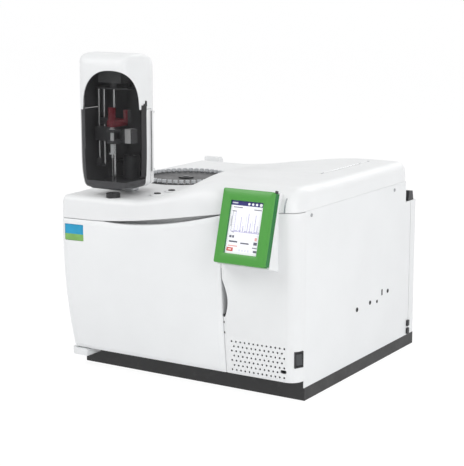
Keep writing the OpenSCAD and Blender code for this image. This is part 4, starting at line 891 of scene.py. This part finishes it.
def finish(slot):
    """The finish of a slot."""
    if slot not in FINISHES:
        raise RuntimeError("no finish for slot " + slot)
    return FINISHES[slot]


def object_of(node):
    """The CAD object of a node."""
    entry = frame["nodes"][node]
    return entry if isinstance(entry, bpy.types.Object) else bpy.data.objects[entry]


# Operators ----------------------------------------------------------------------

class CHROM_OT_finishes(bpy.types.Operator):
    """Gives every node of the frame its procedural finish"""
    bl_idname = "chrom.finishes"
    bl_label = "Finishes"

    def execute(self, context):
        FINISHES.update(make_finishes(context.scene.chrom_colours))
        for part in frame["record"]["subparts"]:
            mesh = object_of(part["node"]).data
            slot = part["material_slot"]
            # The syringe gets the pale finish that paints its highlight.
            look = FINISHES["syringe"] if part["node"] == "syringe" else finish(slot)
            if not len(mesh.materials):
                mesh.materials.append(look)
            for k in range(len(mesh.materials)):
                mesh.materials[k] = look
        return {'FINISHED'}


class CHROM_OT_cover(bpy.types.Operator):
    """Builds the top cover with its well, holes and lips, and the lid over the detectors"""
    bl_idname = "chrom.cover"
    bl_label = "Top cover"

    def execute(self, context):
        form = BodyForm(context.scene)
        cover = solidify(new_object("cover_moulding", form.cover_mesh()), form.wall)
        carve(cover, seam_tool(form))
        lid = new_object("detector_lid_moulding", cover.data.copy())
        carve(lid, prism(lid_outline(0.0), *DECK_CUT, 2), 'INTERSECT')
        carve(cover, prism(lid_outline(LID_GAP), *DECK_CUT, 2))
        x0, x1, y0, y1 = LID
        carve(cover, block((x1 - 4, y0 + 8, DECK_CUT[0]), (LID_AXIS[0] + 3, y1 - 8, DECK_CUT[1])))
        for centre, radius, *_ in HOLES:
            carve(cover, prism(ring_points(radius, RING_N, centre), 395, 520, 2))
        carve(cover, prism(rounded(4, 32, 1.99, SLIT), -420, -290, 1))
        sizes = context.scene.chrom_screen
        w, h, d = (v / MM for v in (sizes.width, sizes.height, sizes.depth))
        carve(cover, placed(block((-2, 0, -h), (w + 5, d + 0.3, 9)), screen_frame(sizes)))
        for centre, radius, width, foot in HOLES:
            add_part(cover, form.lip(centre, radius - width, width, foot))
        left, right, top = LEDGE
        x = np.linspace(left, right, 60)
        ledge = np.stack([x, form.door_top(x) + 1.2], -1)
        add_part(cover, prism(np.concatenate([ledge, [[right, top], [left, top]]]), -332, -329, 1))
        dress(cover, "instrument", "cover_white", finish("cover_white"), "top_cover")
        for profile, name, slot in ((RIM, "injector_rims", "cover_white"),
                                    (NUT, "injector_nuts", "dark_plastic")):
            mesh = join_meshes(name, [lathe(profile, centre) for centre in INJECTORS])
            dress(new_object(name, mesh), "instrument", slot, finish(slot), "injector_caps")
        radius, long = LID_BARREL
        for y in (y0 + 20, y1 - 60):
            add_part(lid, prism(ring_points(radius, 24, LID_AXIS), y, y + long, 1))
            add_part(lid, block((x1 - 12, y, LID_AXIS[1] - 3.6),
                                (LID_AXIS[0], y + long, LID_AXIS[1] - 1)))
        dress(lid, "detector_hatch", "cover_white", finish("cover_white"), "detector_lid")
        return {'FINISHED'}


class CHROM_OT_door(bpy.types.Operator):
    """Builds the oven door's bowed panel"""
    bl_idname = "chrom.door"
    bl_label = "Oven door"

    def execute(self, context):
        form = BodyForm(context.scene)
        a = np.linspace(np.pi / 2, 0, 10)
        roll = form.edge * (1 - np.sin(a)), form.edge * (1 - np.cos(a))
        b = np.linspace(0, np.pi / 2, 5)
        t = np.linspace(0, 1, 74)[1:-1]
        offset = np.concatenate([roll[0], form.edge * (1 - t) - EDGE_ROLL * t,
                                 -EDGE_ROLL * (1 - np.sin(b))])
        share = np.concatenate([0 * a, t, 0 * b + 1])
        inset = np.concatenate([roll[1], 0 * t, EDGE_ROLL * (1 - np.cos(b))])
        grid = panel_grid(form, lambda z: z * 0 - form.half, (offset, share, inset), SKIRT_Z,
                          form.door_top, DOOR_BACK)
        grid = skirted(grid, DOOR_BACK, ("left", "right"))
        mesh = tidy(mesh_from("door", grid, quads(*grid.shape[:2])[:, ::-1]), outward=False)
        door = solidify(new_object("door_moulding", mesh), form.wall)
        carve(door, prism(rounded(BADGE[2] + 0.8, BADGE[3] + 0.8, 2.4, BADGE[:2]), -420, -356, 1))
        dress(door, "oven_door", "cover_white", finish("door_white_painted_light"), "door_panel")
        return {'FINISHED'}


class CHROM_OT_column(bpy.types.Operator):
    """Builds the front column with its grille, scoop, port and switch openings"""
    bl_idname = "chrom.column"
    bl_label = "Front column"

    def execute(self, context):
        form = BodyForm(context.scene)
        b = np.linspace(np.pi / 2, 0, 5)
        t = np.linspace(0, 1, 44)[1:-1]
        a = np.linspace(0, np.pi / 2, 16)
        offset = np.concatenate([EDGE_ROLL * (1 - np.sin(b)), EDGE_ROLL * (1 - t) - form.corner * t,
                                 -form.corner * (1 - np.sin(a)), [0.0]])
        share = np.concatenate([0 * b, t, 0 * a + 1, [1.0]])
        inset = np.concatenate([EDGE_ROLL * (1 - np.cos(b)), 0 * t, form.corner * (1 - np.cos(a)),
                                [COLUMN_BACK - form.front_y]])
        grid = panel_grid(form, lambda z: form.door_edge(z) + form.seam, (offset, share, inset),
                          SKIRT_Z, lambda x: form.seam_at(x) - form.seam, COLUMN_BACK)
        grid = skirted(grid, COLUMN_BACK, ("left",))
        mesh = tidy(mesh_from("column", grid, quads(*grid.shape[:2])[:, ::-1]), outward=False)
        column = solidify(new_object("column_moulding", mesh), form.wall)
        carve(column, self.holes())
        carve(column, prism(rounded(15.4, 8.4, 4.1, PORT), -400, -324, 1))
        carve(column, placed(block((-20, -12.2, -19.2), (8, 12.2, 19.2)), switch_frame()))
        foot, head, wide = SCOOP
        u = np.linspace(0, 1, 40)
        z = head - (head - foot) * u
        lens = 0.72 * wide * np.sin(np.radians(158 * clamp((u - 0.2) / 0.8))) ** 0.9
        rim = form.door_edge(z) + form.seam + lens
        carve(column, prism(np.concatenate([np.stack([rim, z], -1), [[100, foot], [100, head]]]),
                            -380, -300, 1))
        s = np.linspace(0, 1, 22)[:, None]
        edge = (form.door_edge(z) + form.seam)[None]
        x = rim[None] + (edge - rim[None]) * s
        front = form.front(x, z[None])
        deep = np.minimum(front + (SCOOP_BACK - front) * np.sqrt(clamp(1 - (1 - s) ** 2)) ** 0.8,
                          SCOOP_BACK)
        dish = np.stack([x, np.where(s == 0, form.front(rim, z)[None] + 0.2, deep),
                         np.broadcast_to(z, x.shape)], -1)
        mesh = tidy(mesh_from("dish", dish, quads(22, 40)), outward=False)
        pocket = solidify(new_object("scoop_pocket", mesh), 0.8)
        # Painted shade: the scoop's dish gets a mid grey for the shade inside the recess.
        shade = plastic("Scoop painted shade", (0.24, 0.245, 0.25), 0.5, 0.12)
        dress(pocket, "instrument", "rocker_grey", shade)
        marks = []
        for drop, wide, tall in BUFFERS:
            z = foot - drop
            x = float(form.door_edge(np.array(z))) + form.seam + 0.2 + wide / 2
            y = float(form.front(np.array(x), np.array(z)))
            marks.append(prism(rounded(wide, tall, wide * 0.45, (x, z), 5), y - 0.9, y + 4, 1))
        buffers = new_object("edge_buffers", join_meshes("buffers", marks))
        dress(buffers, "instrument", "dark_plastic", finish("dark_plastic"))
        dress(column, "instrument", "cover_white", finish("cover_white"), "front_column",
              "intake_grille")
        return {'FINISHED'}

    @staticmethod
    def holes():
        """Rows of round holes, every other row moved by half a pitch."""
        tools = []
        for row in range(GRILLE_ROWS):
            for i in range(GRILLE_COLUMNS - row % 2):
                centre = (GRILLE[0] + GRILLE_PITCH / 2 * (row % 2) + i * GRILLE_PITCH,
                          GRILLE[1] + row * GRILLE_PITCH)
                if math.hypot(centre[0] - PORT[0], (centre[1] - PORT[1]) * 1.6) > 12:
                    tools.append(prism(ring_points(GRILLE_R, 16, centre), -400, -290, 1))
        return join_meshes("holes", tools)


class CHROM_OT_badge(bpy.types.Operator):
    """Builds the bare badge plate, which follows the door's bow"""
    bl_idname = "chrom.badge"
    bl_label = "Badge plate"

    def execute(self, context):
        form = BodyForm(context.scene)
        x0, z0, wide, high = BADGE
        rise = np.array([0.0, 0.45, 0.8, 0.9, 0.9])
        inset = np.array([0.0, 0.0, 0.25, 0.7, 4.0])
        n = len(rounded(wide, high, 2))
        rings = np.stack([rounded(wide - 2 * k, high - 2 * k, max(2 - k, 0.6), (x0, z0))
                          for k in inset])
        rings = np.concatenate([rings, [[(x0, z0)] * n]])
        rise = np.append(rise, 0.9)[:, None]
        y = form.front(rings[..., 0], rings[..., 1]) - rise + 0.35
        pts = np.stack([rings[..., 0], y, rings[..., 1]], -1)
        back = pts[:1].copy()
        back[..., 1] += 1.2
        pts = np.concatenate([back, pts])
        mesh = tidy(mesh_from("badge", pts, quads(len(pts), n, wrap=True)), outward=False)
        badge = new_object("badge", mesh)
        dress(badge, "oven_door", "badge_blue", finish("badge_blue"), "badge_plate")
        return {'FINISHED'}


class CHROM_OT_tower(bpy.types.Operator):
    """Builds the tower's white hood and its smoked door with the ribbed grip"""
    bl_idname = "chrom.tower"
    bl_label = "Sampler tower"

    def execute(self, context):
        form = TowerForm(context.scene)
        hood = form.shell(3.0)
        hood.name = "tower_hood_moulding"
        door = new_object("tower_door_moulding", hood.data.copy())
        low, high = TOWER_ROOM
        carve(hood, block(low, (*high[:2], form.rim + 6)))
        carve(hood, form.arch_tool(0.0))
        carve(door, form.arch_tool(1.0), 'INTERSECT')
        carve(door, block(low, (*high[:2], form.rim)))
        hinge = form.x + form.width / 2 + 0.6, form.hinge_y
        barrel = ring_points(2.6, 20, hinge)
        frame_part = new_object("tower_door_frame", door.data.copy())
        split = self.parting(form)
        behind = (low[0], split, low[2])
        carve(frame_part, block(behind, high), 'INTERSECT')
        carve(door, block(behind, high))
        add_part(frame_part, prism(barrel, 500, 632, 2))
        grip, hook = self.grip(form, split)
        grip = solidify(new_object("tower_grip", grip), 1.0)
        add_part(grip, hook)
        for z in BARREL_Z:
            add_part(hood, prism(barrel, z, z + 6, 2))
            add_part(hood, block((hinge[0] - 2.4, hinge[1], z),
                                 (hinge[0] + 0.8, hinge[1] + 9, z + 6)))
        dress(hood, "tower", "cover_white", finish("cover_white"), "tower_hood", angle=38)
        dress(door, "tower_window", "smoked", finish("smoked"), "tower_door", angle=38)
        dress(frame_part, "tower_window", "cover_white", finish("cover_white"), angle=38)
        # Painted shade: the inner faces of the hood, of its frame and of part of the smoked door
        # get the dark tower grey.
        for shell in (hood, frame_part):
            paint_shade_inside(shell, (form.x, form.y), finish("tower_grey"))
        paint_shade_inside(door, (form.x, form.y), finish("tower_grey"), form.x - 48, form.rim + 22)
        dress(grip, "tower_window", "dark_plastic", finish("dark_plastic"), angle=30)
        edge = form.x + 42
        for node, body, slot, bright in (
                ("syringe_carriage", "needle_carriage", "carriage_white", (edge, edge + 17)),
                ("plunger_carriage", "plunger", "plunger_red", (form.x, edge))):
            low, high = (bright[0], -500, 400), (bright[1], 0, 800)
            for part, look, how in (("_bright", slot, 'INTERSECT'),
                                    ("_dark", "tower_grey", 'DIFFERENCE')):
                dress(cut_copy(node, node + part, low, high, how), body, look, finish(look), node)
        return {'FINISHED'}

    @staticmethod
    def parting(form):
        """Where the smoked shell ends and its white rear frame begins."""
        return form.hinge_y - 21

    @staticmethod
    def grip(form, rear):
        """A strip that follows the right flank, with four cosine ribs along its depth, and the
        hook on top of it."""
        y = np.linspace(rear - 21, rear + 0.5, 81)[None]
        z = np.linspace(*GRIP_Z, 60)[:, None]
        phase = (y - y.min()) / (y.max() - y.min())
        edge = np.minimum(1, np.minimum(phase, 1 - phase) / 0.05)
        out = 0.4 + (0.7 + 0.7 * np.cos(phase * 2 * np.pi * 4 + np.pi)) * edge
        near, far = np.full((60, 81), form.x), np.full((60, 81), form.x + form.width)
        for _ in range(24):
            mid = (near + far) / 2
            inside = form.distance(mid, y + 0 * mid, z + 0 * mid) < 0
            near, far = np.where(inside, mid, near), np.where(inside, far, mid)
        pts = np.stack([near + out, y + 0 * z, z + 0 * y], -1)
        front = mesh_from("grip", pts, quads(60, 81)[:, ::-1])
        x0 = form.x + form.width / 2
        hook = prism([(rear - 12, 652), (rear - 1, 652), (rear - 1, 664), (rear - 5, 665.5),
                      (rear - 7, 658), (rear - 12, 657.5)], x0 - 3.0, x0 + 1.2, 0)
        return front, hook


class CHROM_OT_screen(bpy.types.Operator):
    """Builds the screen's bezel and its plain measuring picture"""
    bl_idname = "chrom.screen"
    bl_label = "Touch screen"

    def execute(self, context):
        sizes = context.scene.chrom_screen
        place = screen_frame(sizes)
        w, h, d = (v / MM for v in (sizes.width, sizes.height, sizes.depth))
        wx, drop, ww, wh = (v / MM for v in (sizes.window_x, sizes.window_drop, sizes.window_w,
                                             sizes.window_h))
        middle = (wx + ww / 2, -drop - wh / 2)
        outer = [(0.0, d), (0.0, 2.2), (0.25, 1.1), (0.9, 0.4), (2.0, 0.0)]
        inner = [(2.4, 0.0), (1.2, 0.35), (0.4, 1.2), (0.0, 2.4), (0.0, 6.0)]
        rings = [self.ring(rounded(w - 2 * k, h - 2 * k, 3.6 - k * 0.6, (w / 2, -h / 2)), y)
                 for k, y in outer]
        rings += [self.ring(rounded(ww + 2 * k, wh + 2 * k, 1.2 + k, middle), y) for k, y in inner]
        rings += [self.ring(rounded(ww + 6, wh + 6, 2, middle), y) for y in (6.0, d)] + [rings[0]]
        pts = np.stack(rings)
        mesh = mesh_from("bezel", pts, quads(len(pts), pts.shape[1], wrap=True))
        bezel = new_object("bezel_moulding", tidy(placed(mesh, place), outward=False))
        side = rounded(8, 27, 2.4, (w + 0.2, 14.6))
        add_part(bezel, placed(prism(side, -h + 3, -3, 2), place))
        dress(bezel, "instrument", "bezel_green", finish("bezel_green"), "screen_bezel")
        # Painted shade: the bezel's side faces get a darker copy of its green, for the side turned
        # away from the light.
        deep = tuple(v * k for v, k in zip(context.scene.chrom_colours.green, (0.05, 0.50, 0.55)))
        bezel.data.materials.append(plastic("Green bezel flank painted shade", deep, 0.36, 0.03, (2400, 0.012)))
        across = np.array(place.to_3x3() @ Vector((1, 0, 0)))
        turned = (np.abs(per_face(bezel.data, "normal") @ across) > 0.86).astype(np.int32)
        bezel.data.polygons.foreach_set("material_index", turned)
        picture = new_object("screen_picture", self.picture(wx, drop, ww, wh, place))
        picture.data.materials.append(self.picture_finish())
        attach(picture, "instrument")
        return {'FINISHED'}

    @staticmethod
    def ring(outline, y):
        """The outline put at depth y of the screen's frame."""
        return np.stack([outline[:, 0], np.full(len(outline), float(y)), outline[:, 1]], -1)

    def picture(self, wx, drop, ww, wh, place):
        """Layers of coloured boxes and a ribbon on the display, in shares of its width and
        height."""
        navy, white, ink = (0.012, 0.012, 0.14), (0.84, 0.85, 0.88), (0.10, 0.10, 0.14)
        pale, violet, pink = (0.62, 0.64, 0.74), (0.30, 0.26, 0.52), (0.72, 0.36, 0.34)
        boxes = [(0, 0, 1, 1, white, 0), (0, 0, 1, 0.085, navy, 1),
                 (0.03, 0.03, 0.20, 0.052, pale, 2)]
        boxes += [(0.03 + 0.03 * k, 0.028, 0.048 + 0.03 * k, 0.054, white, 2) for k in range(6)]
        boxes += [(0.08, 0.115, 0.36, 0.13, ink, 2), (0.72, 0.135, 0.95, 0.15, ink, 2)]
        boxes += [(0.06, 0.19, 0.19, 0.205, ink, 2)]
        boxes += [(0.085, 0.21, 0.095, 0.575, ink, 2), (0.18, 0.20, 0.19, 0.58, violet, 2)]
        boxes += [(0.06, 0.30, 0.072, 0.49, ink, 2), (0.09, 0.575, 0.97, 0.585, violet, 2)]
        boxes += [(0.10, 0.56 - 0.035 * k, 0.17, 0.566 - 0.035 * k, pale, 2) for k in range(10)]
        peaks = ((0.28, 0.42), (0.36, 0.30), (0.44, 0.46), (0.52, 0.26), (0.58, 0.22), (0.66, 0.40),
                 (0.72, 0.34), (0.80, 0.24), (0.88, 0.44))
        for k, (x, top) in enumerate(peaks):
            boxes.append((x, top, x + 0.014, 0.575, violet if k % 3 else pale, 2))
        boxes += [(0.12, 0.59, 0.20, 0.60, ink, 2), (0.05, 0.625, 0.97, 0.629, pale, 2)]
        boxes += [(0.07, 0.655, 0.14, 0.70, ink, 2), (0.16, 0.655, 0.22, 0.70, ink, 2)]
        boxes += [(0.08, 0.755, 0.34, 0.785, ink, 2), (0.44, 0.775, 0.70, 0.80, ink, 2)]
        boxes += [(0.07, 0.84, 0.36, 0.862, pink, 2)]
        boxes += [(0.04, 0.885, 0.235, 0.955, (0.55, 0.05, 0.04), 2)]
        boxes += [(0.08, 0.905, 0.19, 0.93, (0.85, 0.62, 0.58), 3)]
        boxes += [(0.86, 0.66, 0.93, 0.72, pink, 2), (0.84, 0.745, 0.95, 0.80, ink, 2)]
        boxes += [(0.82, 0.845, 0.96, 0.862, ink, 2), (0.86, 0.90, 0.97, 0.94, ink, 2)]
        boxes += [(0.42 + 0.09 * k, 0.905, 0.455 + 0.09 * k, 0.94, pale, 2) for k in range(4)]
        pts, faces, tints = [], [], []
        for x0, z0, x1, z1, tint, layer in boxes:
            y = 5.9 - 0.05 * layer
            k = len(pts)
            pts += [(wx + ww * a, y, -drop - wh * b)
                    for a, b in ((x0, z1), (x1, z1), (x1, z0), (x0, z0))]
            faces.append((k, k + 1, k + 2, k + 3))
            tints.append(tint)
        for k, cx in enumerate((0.545, 0.665, 0.785, 0.915)):
            a = np.linspace(0, 2 * np.pi, 16, endpoint=False)
            r = 0.036 if k < 3 else 0.044
            first = len(pts)
            pts += [(wx + ww * (cx + r * math.cos(t)), 5.8,
                     -drop - wh * (0.045 + r * 0.66 * math.sin(t))) for t in a[::-1]]
            faces.append(tuple(range(first, first + 16)))
            tints.append(white)
        curve = np.linspace(0.19, 0.97, 60)
        bumps = ((0.30, 0.10), (0.42, 0.22), (0.48, 0.13), (0.60, 0.30), (0.78, 0.18), (0.90, 0.09))
        heights = sum(v * np.exp(-((curve - c) / 0.012) ** 2) for c, v in bumps)
        first = len(pts)
        for share, lift in ((0, 0.0), (1, 0.008)):
            pts += [(wx + ww * x, 5.78, -drop - wh * (0.565 - v - lift))
                    for x, v in zip(curve, heights)]
        faces += [(first + k, first + k + 1, first + 61 + k, first + 60 + k) for k in range(59)]
        tints += [(0.16, 0.14, 0.40)] * 59
        mesh = placed(mesh_from("picture", pts, faces), place)
        layer = mesh.color_attributes.new("tint", 'FLOAT_COLOR', 'CORNER')
        values = np.concatenate([np.tile((*t, 1.0), len(f)) for t, f in zip(tints, faces)])
        layer.data.foreach_set("color", values.astype(np.float32))
        return mesh

    @staticmethod
    def picture_finish():
        """A lit display: the tint glows through a fine pixel pattern under a smooth glass."""
        lit = Finish("Lit display").set(IOR=1.5, Specular_IOR_Level=0.3, Emission_Strength=0.22)
        tint = lit.node("VertexColor", layer_name="tint")
        dim = lit.mix(lit.remap(lit.noise(2600, 1), 0.35, 0.65, 0.0, 0.10), tint.outputs["Color"],
                      (0.55, 0.56, 0.60))
        lit.feed(dim, "Base Color", "Emission Color")
        return lit.polish(0.24, 0.03, 30).grain(1400, 0.004).material


class CHROM_OT_stage(bpy.types.Operator):
    """Sets the floor, the light and the camera"""
    bl_idname = "chrom.stage"
    bl_label = "Stage"

    def execute(self, context):
        scene = context.scene
        scene.view_settings.view_transform = 'Standard'
        n = 40
        bend = np.linspace(0, np.pi / 2, 14)
        y = np.concatenate([[-14000.0], 9000 + 4000 * np.sin(bend), [13000.0]])
        z = np.concatenate([[0.0], 4000 * (1 - np.cos(bend)), [16000.0]])
        x = np.linspace(-14000, 14000, n)
        grid = np.stack(np.broadcast_arrays(x[None], y[:, None], z[:, None] - 0.2), -1)
        floor = new_object("studio_floor", mesh_from("floor", grid, quads(len(y), n)))
        floor.data.shade_smooth()
        floor.data.materials.append(self.floor_finish())
        self.lights(scene)
        data = bpy.data.cameras.new("front_camera")
        data.sensor_fit, data.sensor_width, data.lens = 'AUTO', 36.0, CAMERA_LENS
        data.clip_end = 60.0
        camera = new_object("front_camera", data)
        yaw, pitch = CAMERA_TURN
        look = Vector((-math.sin(yaw) * math.cos(pitch), math.cos(yaw) * math.cos(pitch),
                       -math.sin(pitch)))
        camera.matrix_world = aimed(Vector(CAMERA) * MM, look)
        scene.camera = camera
        return {'FINISHED'}

    @staticmethod
    def floor_finish():
        """A pale floor that turns white where the camera or a reflection sees it, shadow kept."""
        m = Finish("Studio floor").set(Roughness=0.9, Specular_IOR_Level=0.1)
        m.tint((0.86, 0.86, 0.87), 0.01, 0.6)
        path = m.node("LightPath").outputs
        seen = largest(m.tree, path["Is Camera Ray"], path["Is Glossy Ray"],
                       path["Is Transmission Ray"])
        share = m.remap(seen, 0, 1, 0, 0.84)
        glow = m.node("Emission", {"Color": (1, 1, 1, 1), "Strength": 1.08})
        blend = m.node("MixShader", {0: share, 1: m.shader.outputs[0], 2: glow.outputs[0]})
        m.tree.links.new(blend.outputs[0], m.tree.nodes["Material Output"].inputs["Surface"])
        return m.material

    @staticmethod
    def lights(scene):
        """A white room, dimmer for diffuse light, and three soft lamps."""
        scene.world = bpy.data.worlds.new("Studio")
        scene.world.use_nodes = True
        tree = scene.world.node_tree
        path = add_node(tree, "LightPath").outputs
        seen = largest(tree, path["Is Camera Ray"], path["Is Transmission Ray"])
        power = add_node(tree, "MapRange", {"Value": seen, "To Min": 0.68, "To Max": 1.0})
        back = tree.nodes["Background"].inputs
        back["Color"].default_value = (1, 1, 1, 1)
        tree.links.new(power.outputs["Result"], back["Strength"])
        for name, place, aim, size, watts in LAMPS:
            data = bpy.data.lights.new(name, 'AREA')
            data.size, data.energy = size, watts
            lamp = new_object(name, data)
            lamp.matrix_world = aimed(place, Vector(aim) - Vector(place))


OPERATORS = (CHROM_OT_finishes, CHROM_OT_cover, CHROM_OT_door, CHROM_OT_column, CHROM_OT_badge,
             CHROM_OT_tower, CHROM_OT_screen, CHROM_OT_stage)


class CHROM_PT_panel(bpy.types.Panel):
    """Lists the pieces and their sizes in the sidebar"""
    bl_idname = "CHROM_PT_panel"
    bl_label = "Gas Chromatograph"
    bl_space_type = 'VIEW_3D'
    bl_region_type = 'UI'
    bl_category = "Chromatograph"

    def draw(self, context):
        for operator in OPERATORS:
            self.layout.operator(operator.bl_idname)
        for name, group in GROUPS.items():
            box = self.layout.box()
            for key in group.__annotations__:
                box.prop(getattr(context.scene, name), key)


GROUPS = {"chrom_body": ChromBodySizes, "chrom_tower": ChromTowerSizes,
          "chrom_screen": ChromScreenSizes, "chrom_colours": ChromColours}


def register():
    """Registers the groups, the operators and the panel."""
    for name, group in GROUPS.items():
        bpy.utils.register_class(group)
        setattr(bpy.types.Scene, name, bpy.props.PointerProperty(type=group))
    for cls in (*OPERATORS, CHROM_PT_panel):
        bpy.utils.register_class(cls)


def unregister():
    """Takes them away again."""
    for cls in (CHROM_PT_panel, *reversed(OPERATORS)):
        bpy.utils.unregister_class(cls)
    for name, group in reversed(GROUPS.items()):
        delattr(bpy.types.Scene, name)
        bpy.utils.unregister_class(group)


def main():
    """Registers the add-on and builds every piece."""
    register()
    for operator in OPERATORS:
        group, name = operator.bl_idname.split(".")
        if getattr(getattr(bpy.ops, group), name)() != {'FINISHED'}:
            raise RuntimeError(operator.bl_label + " didn't finish")


if __name__ == "__main__":
    main()
